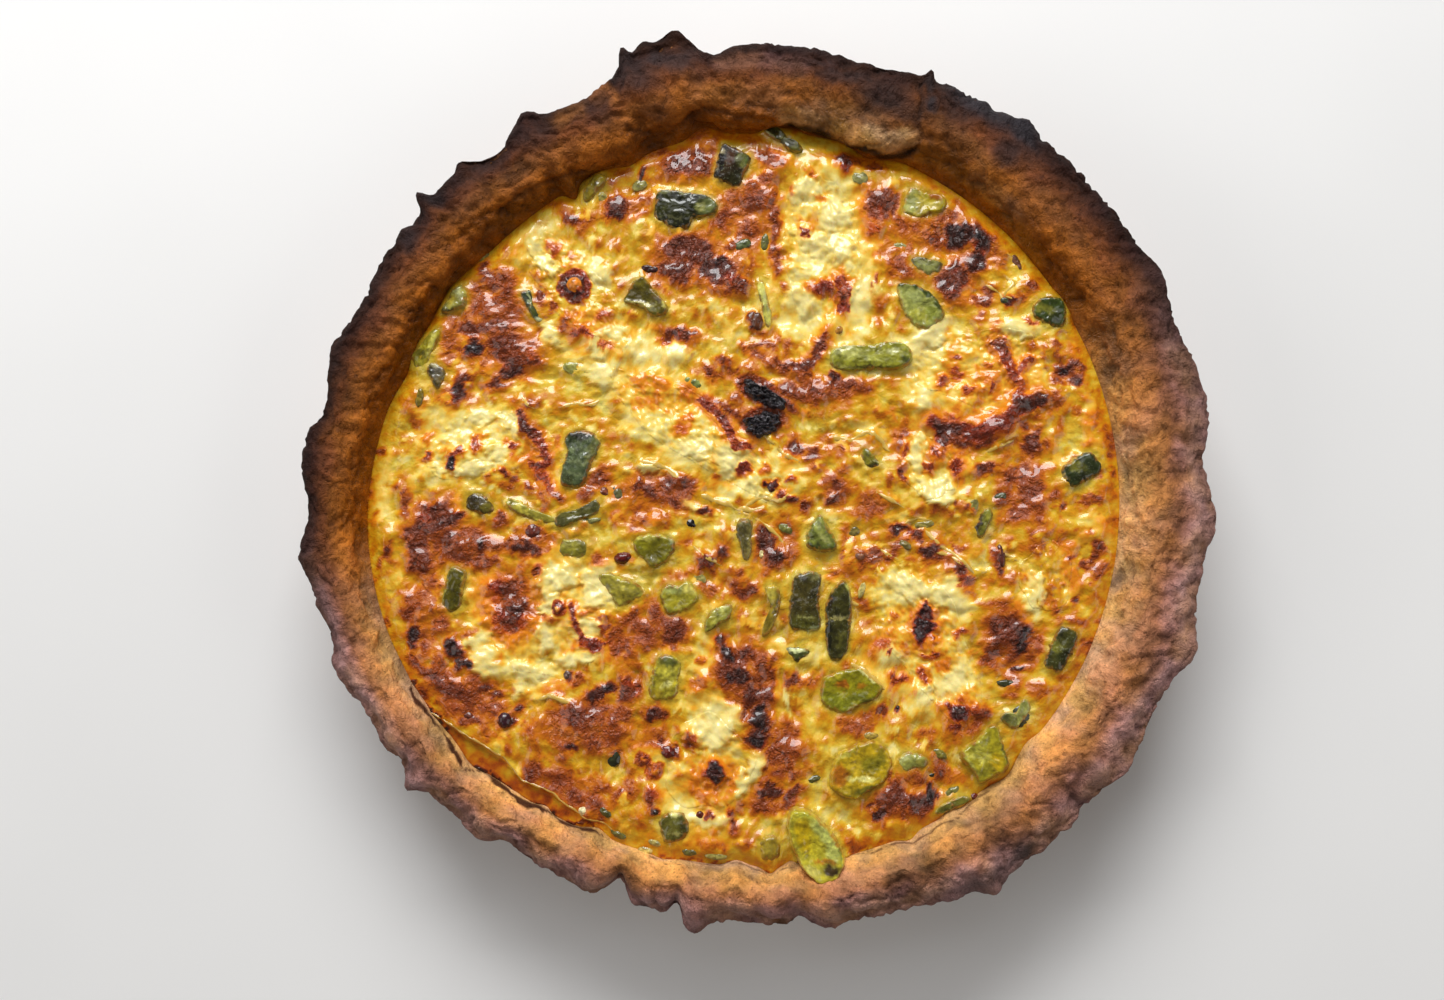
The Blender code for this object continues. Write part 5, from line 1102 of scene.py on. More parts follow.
def zucchini_skin(name):
    n = Nodes(name)
    colour = n.attribute("col", "Color")
    dotty = n.attribute("dotty")
    mottling = n.noise(420, 4, .6, .5)
    fine = n.noise(1600, 3, .6)
    colour = n.mix(1.0, colour, n.ramp(mottling, [(.28, (.74, .74, .70, 1)), (.5, (1, 1, 1, 1)), (.75, (1.30, 1.30, 1.22, 1))]), "MULTIPLY")
    colour = n.mix(n.math("MULTIPLY", n.ease(.58, .70, fine), n.math("MULTIPLY", dotty, .3)), colour, rgb(168, 176, 140))
    n.set("Base Color", colour)
    n.set("Roughness", n.math("MULTIPLY_ADD", fine, .2, .30))
    n.set("Specular IOR Level", .15)
    n.set("Coat Weight", .9)
    n.set("Coat Roughness", .04)
    n.set("Subsurface Weight", .08)
    n.set("Subsurface Radius", (.5, .8, .2))
    n.set("Subsurface Scale", .0015)
    low = n.bump(n.noise(360, 2, .5, .8), .7, .0007)
    n.set("Normal", n.bump(fine, n.math("MULTIPLY_ADD", dotty, .4, .12), .0002, low))
    return n.material


def char(name):
    n = Nodes(name)
    lump = n.noise(520, 5, .7, 1.2)
    # black char; where the lumps stand highest the colour turns grey, a painted glint
    colour = n.ramp(lump, [(.30, rgb(16, 12, 14)), (.50, rgb(32, 24, 27)), (.60, rgb(66, 58, 66)), (.70, rgb(132, 124, 132))])
    n.set("Base Color", colour)
    n.set("Roughness", .36)
    n.set("Coat Weight", .5)
    n.set("Coat Roughness", .15)
    low = n.bump(lump, 1.0, .0011)
    n.set("Normal", n.bump(n.noise(1400, 3, .6), .6, .0003, low))
    return n.material


def plain(name, colour, rough, bump=0.0, scale=300, coat=0.0, transmission=0.0):
    n = Nodes(name)
    if colour is not None:
        vary = n.noise(scale, 3, .6)
        n.set("Base Color", n.mix(vary, tuple(.82 * c for c in colour[:3]) + (1,), colour))
    n.set("Roughness", rough)
    n.set("Coat Weight", coat)
    n.set("Transmission Weight", transmission)
    if bump:
        n.set("Normal", n.bump(n.noise(scale, 4, .6), bump, .0004))
    return n.material


# =====================================================================================
# meshes
# =====================================================================================
def build(name, verts, faces, material, fields=None, colour=None, smooth_it=True):
    """A mesh from millimetre points, quads or triangles, and fields on its points."""
    mesh = bpy.data.meshes.new(name)
    verts = np.asarray(verts, float)
    flat, starts, counts, at = [], [], [], 0
    for block in (faces if isinstance(faces, list) else [faces]):
        block = np.asarray(block, np.int32)
        if not len(block):
            continue
        k = block.shape[1]
        flat.append(block.ravel())
        starts.append(at + k * np.arange(len(block), dtype=np.int32))
        counts.append(np.full(len(block), k, np.int32))
        at += k * len(block)
    flat, starts, counts = np.concatenate(flat), np.concatenate(starts), np.concatenate(counts)
    mesh.vertices.add(len(verts))
    mesh.vertices.foreach_set("co", (verts * MM).astype(np.float32).ravel())
    mesh.loops.add(len(flat))
    mesh.loops.foreach_set("vertex_index", flat.astype(np.int32))
    mesh.polygons.add(len(starts))
    mesh.polygons.foreach_set("loop_start", starts.astype(np.int32))
    mesh.polygons.foreach_set("loop_total", counts.astype(np.int32))
    mesh.update(calc_edges=True)
    mesh.validate()
    if smooth_it:
        mesh.shade_smooth()
    for key, values in (fields or {}).items():
        layer = mesh.attributes.new(key, "FLOAT", "POINT")
        layer.data.foreach_set("value", np.asarray(values, np.float32))
    if colour is not None:
        layer = mesh.attributes.new("col", "FLOAT_COLOR", "POINT")
        rgba = np.ones((len(verts), 4), np.float32)
        rgba[:, :3] = colour
        layer.data.foreach_set("color", rgba.ravel())
    mesh.materials.append(material)
    piece = bpy.data.objects.new(name, mesh)
    bpy.context.scene.collection.objects.link(piece)
    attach(piece, "root")
    return piece


def grid_faces(rows, cols, wrap=False, start=0):
    i, j = np.meshgrid(np.arange(rows - 1), np.arange(cols if wrap else cols - 1), indexing="ij")
    j2 = (j + 1) % cols
    return (start + np.stack([i * cols + j, (i + 1) * cols + j, (i + 1) * cols + j2, i * cols + j2], -1)).reshape(-1, 4)


FIELDS = ("brown", "cheese", "olive", "painted_sheen", "white", "wet")


def cheese_outline(lx, ly, a_, b_, seed):
    """Share of the way out to a cheese patch's ragged outline."""
    t = np.arctan2(ly / b_, lx / a_)
    swell = 1 + .06 * np.sin(3 * t + seed) + .05 * np.sin(5 * t + 2.1 * seed) + .03 * np.sin(9 * t + seed * 3)
    return np.hypot(lx / a_, ly / b_) / swell


def make_filling(material):
    half = 148
    n = 2 * half
    g = np.linspace(-1, 1, n + 1)
    a, b = np.meshgrid(g, g, indexing="ij")
    big = np.abs(a) > np.abs(b)
    with np.errstate(divide="ignore", invalid="ignore"):
        r = np.where(big, a, b)
        phi = np.where(big, np.pi / 4 * b / a, np.pi / 2 - np.pi / 4 * a / b)
    phi = np.where((a == 0) & (b == 0), 0, phi)
    x, y = r * np.cos(phi), r * np.sin(phi)
    rho, ang = np.hypot(x, y), np.arctan2(y, x)
    reach = 118.6 + rho ** 4 * (border_r(ang) - .25 - 118.6)
    x, y = rho * reach * np.cos(ang), rho * reach * np.sin(ang)
    f = surface(x.ravel(), y.ravel())
    z = f["z"].copy()
    # the cheese patches are pieces of their own: the custard runs a little lower under them
    for k, (name, x0, y0, a_, b_, heading) in enumerate(CHEESE):
        lx, ly = local(x.ravel(), y.ravel(), x0, y0, heading)
        q = cheese_outline(lx, ly, a_, b_, k)
        z -= .8 * smooth(.935, .80, q)
    verts = np.stack([x.ravel(), y.ravel(), z], -1)
    faces = grid_faces(n + 1, n + 1)
    idx = np.arange((n + 1) ** 2).reshape(n + 1, n + 1)
    ring = np.concatenate([idx[:-1, 0], idx[-1, :-1], idx[:0:-1, -1], idx[0, :0:-1]])
    rx, ry = verts[ring, 0], verts[ring, 1]
    ra = np.arctan2(ry, rx)
    count = len(ring)
    rings = [ring]
    blocks, extra = [faces], []
    for radius, height, follow in ((117.4, 28.0, 1.0), (111.5, 18.0, .6), (103.7, 6.0, 0.0), (99, 5.6, 0.0)):
        rr = radius + follow * (border_r(ra) - 118.6)
        start = len(verts) + sum(len(e) for e in extra)
        extra.append(np.stack([rr * np.cos(ra), rr * np.sin(ra), np.full(count, height)], -1))
        rings.append(start + np.arange(count))
    start = len(verts) + sum(len(e) for e in extra)
    extra.append(np.array([[0, 0, 5.6]]))
    k = np.arange(count)
    for upper, lower in zip(rings, rings[1:]):
        blocks.append(np.stack([upper, lower, lower[(k + 1) % count], upper[(k + 1) % count]], -1))
    blocks.append(np.stack([rings[-1], np.full(count, start), rings[-1][(k + 1) % count]], -1))
    verts = np.concatenate([verts] + extra)
    more = len(verts) - len(z)
    fields = {key: np.concatenate([f[key], np.full(more, .3 if key == "brown" else 0.0)]) for key in FIELDS}
    piece = build("filling_surface", verts, blocks, material, fields)
    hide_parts("filling")
    return piece


def make_cheese(material):
    for k, (name, x0, y0, a_, b_, heading) in enumerate(CHEESE):
        half = int(max(a_, b_) / .52)
        g = np.linspace(-1, 1, 2 * half + 1)
        ga, gb = np.meshgrid(g, g, indexing="ij")
        big = np.abs(ga) > np.abs(gb)
        with np.errstate(divide="ignore", invalid="ignore"):
            q = np.where(big, ga, gb)
            tt = np.where(big, np.pi / 4 * gb / ga, np.pi / 2 - np.pi / 4 * ga / gb)
        tt = np.where((ga == 0) & (gb == 0), 0, tt)
        tt = np.where(q < 0, tt + np.pi, tt)
        q = np.abs(q)
        swell = 1 + .06 * np.sin(3 * tt + k) + .05 * np.sin(5 * tt + 2.1 * k) + .03 * np.sin(9 * tt + k * 3)
        lx = (a_ * q * swell * np.cos(tt)).ravel()
        ly = (b_ * q * swell * np.sin(tt)).ravel()
        c, s = math.cos(math.radians(heading)), math.sin(math.radians(heading))
        x, y = x0 + lx * c - ly * s, y0 + lx * s + ly * c
        f = surface(x, y)
        z = f["z"] + .05 - .75 * smooth(.968, 1.0, q.ravel())
        top = len(x)
        verts = np.stack([x, y, z], -1)
        faces = grid_faces(2 * half + 1, 2 * half + 1)
        idx = np.arange(top).reshape(2 * half + 1, 2 * half + 1)
        outer = np.concatenate([idx[:-1, 0], idx[-1, :-1], idx[:0:-1, -1], idx[0, :0:-1]])
        around = len(outer)
        j = np.arange(around)
        under = verts[outer].copy()
        under[:, :2] = (under[:, :2] - (x0, y0)) * .96 + (x0, y0)
        under[:, 2] = 28.6
        below = top + j
        side = np.stack([outer, below, below[(j + 1) % around], outer[(j + 1) % around]], -1)
        bottom = np.stack([below, np.full(around, top + around), below[(j + 1) % around]], -1)
        verts = np.concatenate([verts, under, [[x0, y0, 28.6]]])
        fields = {key: np.concatenate([f[key], f[key][outer], [0.2]]) for key in FIELDS}
        piece = build(name + "_melted", verts, [faces, side, bottom], material, fields)
        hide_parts(name)


# looks of the zucchini: rind, second rind, flesh, how dotted, how charred
LOOKS = {
    "dark": (rgb(38, 48, 26), rgb(62, 74, 40), rgb(120, 128, 62), .5, .0),
    "charred": (rgb(26, 24, 22), rgb(58, 74, 44), rgb(92, 92, 56), 1.0, .8),
    "halfdark": (rgb(40, 46, 26), rgb(92, 100, 44), rgb(140, 140, 70), .4, .0),
    "olive": (rgb(88, 94, 34), rgb(112, 116, 44), rgb(150, 150, 70), .5, .0),
    "olivedark": (rgb(58, 58, 26), rgb(80, 80, 36), rgb(128, 128, 64), .9, .1),
    "grey": (rgb(70, 76, 52), rgb(104, 108, 78), rgb(150, 148, 96), 1.0, .1),
    "pale": (rgb(132, 142, 72), rgb(168, 172, 98), rgb(192, 186, 110), .3, .0),
    "blue": (rgb(54, 68, 62), rgb(88, 102, 94), rgb(120, 124, 80), 1.0, .1),
    "fresh": (rgb(50, 66, 26), rgb(118, 128, 50), rgb(148, 154, 72), .3, .0),
    "strip": (rgb(96, 108, 48), rgb(138, 146, 74), rgb(164, 166, 84), .6, .1),
    "buried": (rgb(128, 128, 58), rgb(152, 146, 72), rgb(170, 162, 84), .3, .0),
    "yellowgreen": (rgb(104, 108, 30), rgb(140, 136, 44), rgb(168, 160, 66), .4, .0),
    "yellow": (rgb(84, 98, 30), rgb(150, 146, 44), rgb(176, 166, 60), .3, .15),
    "bright": (rgb(72, 90, 34), rgb(148, 158, 62), rgb(182, 178, 66), .3, .1),
}


LIFT = {"zucchini_17": .6, "zucchini_30": 1.3, "zucchini_21": .5, "zucchini_26": .7, "zucchini_39": .6, "zucchini_16": .3, "zucchini_42": .3}


def block_shell(nx, ny, nz):
    """The outside of a box as one closed grid of unit points."""
    index, points, faces = {}, [], []

    def at(i, j, k):
        key = (i, j, k)
        if key not in index:
            index[key] = len(points)
            points.append((2 * i / nx - 1, 2 * j / ny - 1, 2 * k / nz - 1))
        return index[key]

    for i in range(nx):
        for j in range(ny):
            faces.append((at(i, j, nz), at(i + 1, j, nz), at(i + 1, j + 1, nz), at(i, j + 1, nz)))
            faces.append((at(i, j, 0), at(i, j + 1, 0), at(i + 1, j + 1, 0), at(i + 1, j, 0)))
    for i in range(nx):
        for k in range(nz):
            faces.append((at(i, 0, k), at(i + 1, 0, k), at(i + 1, 0, k + 1), at(i, 0, k + 1)))
            faces.append((at(i, ny, k), at(i, ny, k + 1), at(i + 1, ny, k + 1), at(i + 1, ny, k)))
    for j in range(ny):
        for k in range(nz):
            faces.append((at(0, j, k), at(0, j, k + 1), at(0, j + 1, k + 1), at(0, j + 1, k)))
            faces.append((at(nx, j, k), at(nx, j + 1, k), at(nx, j + 1, k + 1), at(nx, j, k + 1)))
    return np.array(points), np.array(faces)


def rounded(p, power):
    """Carries the unit box's outside onto a rounded box."""
    length = (np.abs(p) ** power).sum(1) ** (1 / power)
    return p / length[:, None]


def make_zucchini(material):
    for order, (name, kind, x0, y0, length, width, heading, proud, tilt, look_) in enumerate(ZUCCHINI):
        seed = 100 + 7 * order
        rind, rind2, flesh, dotty, charred = LOOKS[look_]
        plan = PLANS[name]
        fine = 1.0
        mean = float(plan[2].mean())
        around = int(max(40, 2 * math.pi * mean / (.42 * fine)))
        rings = int(max(6, mean / (.40 * fine)))
        t = np.arange(around) / around * 2 * np.pi
        reach = plan_reach(plan, t)
        reach = reach + .16 * 4.5 * fbm2(np.cos(t) * mean / 2.6, np.sin(t) * mean / 2.6, seed, 3) * smooth(1.0, 4.0, reach)
        q = 1 - (1 - np.linspace(0, 1, rings + 1)[1:]) ** 1.7
        qq = q[:, None] * np.ones(around)
        dx = np.concatenate([[0], (qq * reach * np.cos(t)).ravel()])
        dy = np.concatenate([[0], (qq * reach * np.sin(t)).ravel()])
        edge = np.concatenate([[reach.min()], ((1 - qq) * reach).ravel()])
        share = np.concatenate([[0], qq.ravel()])
        x, y = plan[0][0] + dx, plan[0][1] + dy
        lx, ly = local(x, y, x0, y0, heading)
        n3 = 4.5 * fbm2(x / 5.0, y / 5.0, seed + 1, 3)
        n1 = 4.5 * fbm2(x / 1.6, y / 1.6, seed + 2, 2)
        rise = (.66 * proud if name != "zucchini_33" else proud) + lx * math.tan(math.radians(tilt)) * .8
        if kind == "skin":
            rise = rise - .5 * np.clip(2 * ly / width, -1, 1) ** 2 - .5 * np.clip(2 * lx / length, -1, 1) ** 2
            rise = rise + .16 * np.abs(noise2(ly / 2.2, lx / 9, seed + 3))
        else:
            rise = rise - .55 * smooth(.85, .1, share)
        if name == "zucchini_33":
            rise = rise + 2.6 * smooth(110, 124, np.hypot(x, y))
        rounding = 1 - (1 - np.clip(edge / min(1.5, .7 * float(plan[2].min()) + .4), 0, 1)) ** 2.3
        z = LEVEL - .35 + (rise + .62 + LIFT.get(name, 0) + .15 * n3 + .05 * n1) * rounding
        # sides and bottom
        outer = 1 + (rings - 1) * around + np.arange(around)
        total = len(x)
        j = np.arange(around)
        faces = [grid_faces(rings, around, wrap=True, start=1), np.stack([np.zeros(around, int), 1 + j, 1 + (j + 1) % around], -1)]
        deep = 3.6 if math.hypot(x0, y0) < 96 else 1.9
        upper = outer
        xs, ys, zs = [x], [y], [z]
        for k, (draw_in, down) in enumerate(((.99, 1.2), (.95, deep))):
            xs.append(plan[0][0] + dx[outer] * draw_in)
            ys.append(plan[0][1] + dy[outer] * draw_in)
            zs.append(np.full(around, LEVEL - down))
            lower = total + k * around + j
            faces.append(np.stack([upper, lower, lower[(j + 1) % around], upper[(j + 1) % around]], -1))
            upper = lower
        last = total + 2 * around
        faces.append(np.stack([upper, np.full(around, last), upper[(j + 1) % around]], -1))
        xs.append([plan[0][0]])
        ys.append([plan[0][1]])
        zs.append([LEVEL - deep])
        X, Y, Z = np.concatenate(xs), np.concatenate(ys), np.concatenate(zs)
        # paint
        if name in PIECES:
            base, patches = PIECES[name][1], PIECES[name][2]
        else:
            base = tuple(int(255 * (c ** (1 / 2.2))) for c in rind[:3])
            cu, cv = px_of(plan[0][0], plan[0][1])
            cu, cv = float(cu), float(cv)
            patches = [(cu - 6, cv - 4, 12, 5, 20, (130, 128, 62), .7), (cu + 5, cv + 6, 10, 6, -30, (40, 44, 20), .8)]
        U, V = px_of(X, Y, Z)
        N3 = 4.5 * fbm2(X / 2.9, Y / 2.9, seed + 4, 3)
        N1 = 4.5 * fbm2(X / 1.1, Y / 1.1, seed + 5, 2)
        U2, V2 = U + 1.0 * N3 + .5 * N1, V - 1.0 * N3 + .5 * N1
        col = np.tile(rgb_array(*base), (len(X), 1))
        for patch in patches:
            g = (patch[6] * smooth(1.35, .55, oval(U2, V2, patch)))[:, None]
            col = col * (1 - g) + rgb_array(*patch[5]) * g
        col = col * (.98 * np.clip(1 + (.14 if kind == "face" else .24) * N3 + .10 * N1, .3, 2.1))[:, None] * np.array([1.04, 1.0, .50])
        # custard that has run over the edges
        far_in = np.concatenate([edge, np.zeros(len(X) - total)])
        tone = smooth(-.8, .8, N3)[:, None]
        smear = rgb_array(214, 178, 84) * tone + rgb_array(176, 118, 40) * (1 - tone)
        run = (.72 * smooth(1.3, .1, far_in + .3 * N1 + .35 * N3))[:, None]
        col = col * (1 - run) + smear * run
        # painted shade: the sides and underside are a third darker
        below = np.concatenate([np.zeros(total), np.ones(len(X) - total)])[:, None]
        col = col * (1 - .35 * below)
        piece = build(name + "_cooked", np.stack([X, Y, Z], -1), faces, material,
                      {"dotty": np.full(len(X), dotty)}, np.clip(col, 0, 1))
        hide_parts(name)


def make_strands(name, lines, material, follow=1.0):
    """Thin raised threads that lie on the baked surface, as one mesh."""
    ring = 8
    verts, faces, total = [], [], 0
    for k, (points, half, rise) in enumerate(lines):
        pts = np.array([mm_of(u_, v_) for u_, v_ in points])
        pts = np.concatenate([[2 * pts[0] - pts[1]], pts, [2 * pts[-1] - pts[-2]]])
        path = []
        for i in range(1, len(pts) - 2):
            p0, p1, p2, p3 = pts[i - 1:i + 3]
            steps = max(2, int(np.hypot(*(p2 - p1)) / .45))
            for m in range(steps):
                s = m / steps
                path.append(.5 * (2 * p1 + (p2 - p0) * s + (2 * p0 - 5 * p1 + 4 * p2 - p3) * s * s + (3 * p1 - p0 - 3 * p2 + p3) * s ** 3))
        path.append(pts[-2])
        path = np.array(path)
        run = np.arange(len(path)) * .45
        path = path + np.stack([noise2(run / 2.6, 0 * run + k, 701), noise2(run / 2.6, 0 * run + k, 702)], -1) * .35
        along = np.gradient(path, axis=0)
        along = along / np.maximum(np.hypot(along[:, 0], along[:, 1]), 1e-6)[:, None]
        side = np.stack([-along[:, 1], along[:, 0]], -1)
        level = surface(path[:, 0], path[:, 1])["z"]
        if len(level) > 6:
            level = np.convolve(np.pad(level, 2, mode="edge"), np.ones(5) / 5, "valid")
        taper = np.clip(np.minimum(run, run[-1] - run) / 2.2, 0, 1) ** .6
        swell = np.clip(.85 + .9 * noise2(run / 3.2, 0 * run + k, 703), .35, 1.5) * taper + .04
        w = half * .36 * swell * follow
        hgt = .52 * rise * swell * follow
        a_ = np.arange(ring) / ring * 2 * np.pi
        x = path[:, 0:1] + side[:, 0:1] * w[:, None] * np.cos(a_)
        y = path[:, 1:2] + side[:, 1:2] * w[:, None] * np.cos(a_)
        z = level[:, None] - .12 + hgt[:, None] * np.sin(a_) * np.where(np.sin(a_) > 0, 1.0, .8)
        count = len(path)
        verts.append(np.stack([x.ravel(), y.ravel(), z.ravel()], -1))
        faces.append(grid_faces(count, ring, wrap=True, start=total))
        base = total + (count - 1) * ring
        faces.append(np.array([[total + m for m in range(ring)]]))
        faces.append(np.array([[base + m for m in range(ring)][::-1]]))
        total += count * ring
    return build(name, np.concatenate(verts), faces, material)


def rgb_array(r, g, b):
    return np.array(rgb(r, g, b)[:3])


def dome(plan, around, rings, level, rise, seed, rough, width=1.1, deep=2.5, ragged=.05):
    """A rounded piece over its outline, closed below: points and faces."""
    t = np.arange(around) / around * 2 * np.pi
    reach = plan_reach(plan, t) * (1 + ragged * 4.5 * fbm2(np.cos(t) * 1.9 + seed, np.sin(t) * 1.9, seed, 4))
    q = 1 - (1 - np.linspace(0, 1, rings + 1)[1:]) ** 1.6
    qq = q[:, None] * np.ones(around)
    x = plan[0][0] + np.concatenate([[0], (qq * reach * np.cos(t)).ravel()])
    y = plan[0][1] + np.concatenate([[0], (qq * reach * np.sin(t)).ravel()])
    edge = np.concatenate([[reach.min()], ((1 - qq) * reach).ravel()])
    n = 4.5 * fbm2(x / 1.9, y / 1.9, seed + 1, 4, .6)
    ridge = np.abs(4.5 * fbm2(x / 2.4, y / 1.7, seed + 2, 2))
    z = level + (rise + rough * (n * .42 + .8 * ridge - .4)) * (1 - (1 - np.clip(edge / width, 0, 1)) ** 2.3)
    outer = 1 + (rings - 1) * around + np.arange(around)
    total, j = len(x), np.arange(around)
    faces = [grid_faces(rings, around, wrap=True, start=1), np.stack([np.zeros(around, int), 1 + j, 1 + (j + 1) % around], -1)]
    lower = total + j
    faces.append(np.stack([outer, lower, lower[(j + 1) % around], outer[(j + 1) % around]], -1))
    faces.append(np.stack([lower, np.full(around, total + around), lower[(j + 1) % around]], -1))
    verts = np.concatenate([np.stack([x, y, z], -1), np.stack([x[outer], y[outer], np.full(around, level - deep)], -1),
                            [[plan[0][0], plan[0][1], level - deep]]])
    return verts, faces


def make_bits(material):
    """All the smallest things on the surface, as one mesh."""
    verts, faces, cols, total = [], [], [], 0
    places = np.array([mm_of(bit[0], bit[1]) for bit in BITS])
    levels = surface(places[:, 0], places[:, 1])["z"]
    for k, (u0, v0, a_, b_, turn, colour, rise) in enumerate(BITS):
        s = np.arange(24) / 24 * 2 * np.pi
        c_, s_ = math.cos(math.radians(turn)), math.sin(math.radians(turn))
        su = u0 + a_ * np.cos(s) * c_ - b_ * np.sin(s) * s_
        sv = v0 + a_ * np.cos(s) * s_ + b_ * np.sin(s) * c_
        ring = np.array([mm_of(float(p_), float(q_)) for p_, q_ in zip(su, sv)])
        middle = ring.mean(0)
        away = ring - middle
        at = np.arctan2(away[:, 1], away[:, 0])
        order = np.argsort(at)
        plan = (middle, at[order], np.hypot(away[:, 0], away[:, 1])[order])
        size = .318 * max(a_, b_)
        points, polys = dome(plan, 26, 7, float(levels[k]) - .12, .75 * rise, 800 + 5 * k, .16 if rise < 1.2 else .05,
                             width=.318 * min(a_, b_), deep=1.0)
        verts.append(points)
        for block in polys:
            faces.append(block + total)
        tone = rgb_array(*colour) * np.array([1, 1, .85])
        vary = 1 + .2 * 4.5 * fbm2(points[:, 0] / 1.2, points[:, 1] / 1.2, 900 + k, 2)
        cols.append(np.clip(tone[None] * vary[:, None], 0, 1))
        total += len(points)
    return build("small_bits", np.concatenate(verts), faces, material,
                 {"dotty": np.full(total, .2)}, np.concatenate(cols))


# ---- the pastry case -----------------------------------------------------------------
# dark patches on the rim: u, v, half length, half width, turn, strength, 0 brown .. 1 blue-black, where the blue-black
# is a painted bluish sheen on the burnt pastry
RIM_BURNS = [
    (883, 98, 34, 18, 15, .85, .2), (905, 112, 22, 14, 0, .75, .2), (845, 78, 34, 8, 12, .7, .4), (985, 108, 44, 13, 28, .8, .9),
    (1022, 128, 24, 14, 50, .85, 1.0), (1010, 152, 18, 17, 0, .85, .3), (960, 108, 26, 18, 20, .6, .3),
    (640, 75, 26, 20, 30, .75, .3), (625, 60, 10, 14, 0, .8, .3), (680, 60, 20, 14, 0, .8, .5), (660, 58, 16, 9, 0, .7, .7),
    (600, 105, 20, 20, 0, .5, .1), (655, 110, 22, 14, 0, .5, .1), (540, 135, 24, 12, -20, .55, .2), (480, 172, 26, 10, -30, .5, .2),
    (430, 198, 16, 8, 10, .8, .4), (410, 240, 10, 14, 0, .7, .4), (930, 105, 7, 10, 30, .95, .5), (700, 75, 10, 10, 0, .5, .3),
    (928, 82, 5, 14, 0, .8, .3), (985, 880, 34, 12, -25, .75, .9), (1020, 855, 22, 9, -45, .8, .9), (1000, 845, 16, 14, 0, .4, .2),
    (940, 870, 26, 10, -10, .3, .6), (420, 765, 16, 10, 10, .4, .3), (1020, 150, 20, 20, 0, .5, .3), (800, 62, 40, 6, 5, .35, .5),
]
# folds and cracks of the pastry: points, half width px, depth mm, darkness of the painted shade in them
RIM_FOLDS = [
    ([(921, 84), (923, 100), (920, 116), (919, 128)], 2.2, .9, .8), ([(919, 126), (922, 138), (917, 148), (908, 153)], 3.2, 1.0, .6),
    ([(683, 122), (694, 112), (708, 108), (724, 112), (740, 118)], 2.6, .7, .6), ([(500, 214), (516, 198), (540, 184), (562, 177), (584, 170)], 2.0, .6, .55),
    ([(627, 124), (632, 131), (645, 134)], 2.0, .5, .4), ([(664, 84), (668, 98), (660, 110)], 2.4, .6, .3),
    ([(860, 90), (874, 98), (870, 112), (882, 122)], 2.4, .5, .3), ([(985, 145), (982, 160), (986, 176)], 2.2, .4, .25),
    ([(460, 700), (452, 720)], 2.0, .3, .1), ([(985, 832), (1000, 850), (1018, 846)], 3.0, .5, .35), ([(955, 838), (962, 862)], 3.0, .4, .2),
    ([(600, 850), (612, 866), (606, 878)], 2.2, .4, .15), ([(700, 905), (704, 925)], 2.5, .3, .1), ([(840, 898), (846, 918)], 2.5, .3, .15),
]


# other colours on the rim: points, half width px, colour, strength
RIM_BANDS = [
    ([(786, 114), (812, 122), (838, 130), (866, 140), (892, 144), (910, 138)], 9, (206, 152, 86), .85),
    ([(866, 132), (885, 138), (902, 134)], 6, (226, 180, 116), .8),
    # painted shadow in the gap where the bulge overhangs the custard
    ([(790, 124), (822, 136), (850, 145), (875, 152), (900, 155), (916, 148)], 3.0, (38, 20, 10), .9),
    ([(922, 152), (950, 166), (978, 184), (1002, 204), (1022, 230), (1036, 262)], 9, (140, 86, 14), .75),
    ([(935, 150), (965, 162), (995, 182), (1018, 206)], 13, (128, 76, 18), .6),
    ([(498, 226), (520, 206), (545, 192), (570, 184), (590, 176)], 9, (128, 76, 16), .75),
    ([(440, 290), (455, 268), (475, 246), (498, 226)], 8, (112, 64, 14), .7),
    ([(590, 172), (620, 152), (650, 138), (680, 126), (700, 118)], 8, (116, 66, 16), .65),
    ([(595, 96), (605, 90), (614, 98)], 8, (186, 116, 56), .6), ([(560, 120), (580, 108)], 9, (150, 96, 44), .5),
    ([(725, 62), (760, 60), (800, 68)], 9, (122, 84, 74), .6), ([(702, 96), (740, 94), (780, 100)], 12, (140, 92, 48), .5),
    ([(820, 104), (850, 112), (880, 122)], 9, (150, 104, 58), .55), ([(940, 128), (965, 140), (990, 160)], 9, (134, 90, 50), .5),
    ([(975, 175), (1000, 190), (1020, 215)], 8, (126, 86, 50), .5), ([(470, 205), (500, 185), (530, 165)], 9, (124, 78, 36), .5),
    # near side: the light tan bands by the custard are painted light on the slope facing the window, the purple-grey
    # ones along the drooping edge painted sheen and shade
    ([(425, 770), (450, 800), (480, 830), (520, 856)], 9, (150, 108, 92), .55), ([(560, 868), (610, 876), (640, 890)], 9, (146, 100, 76), .5),
    ([(480, 790), (520, 825), (570, 848)], 8, (206, 150, 92), .5), ([(650, 872), (700, 878), (760, 884), (800, 884)], 7, (214, 160, 96), .5),
    ([(680, 900), (730, 910), (790, 912)], 9, (164, 120, 102), .55), ([(860, 876), (905, 868), (950, 848)], 8, (204, 148, 90), .45),
    ([(840, 905), (890, 895), (940, 882)], 9, (112, 82, 80), .5),
]


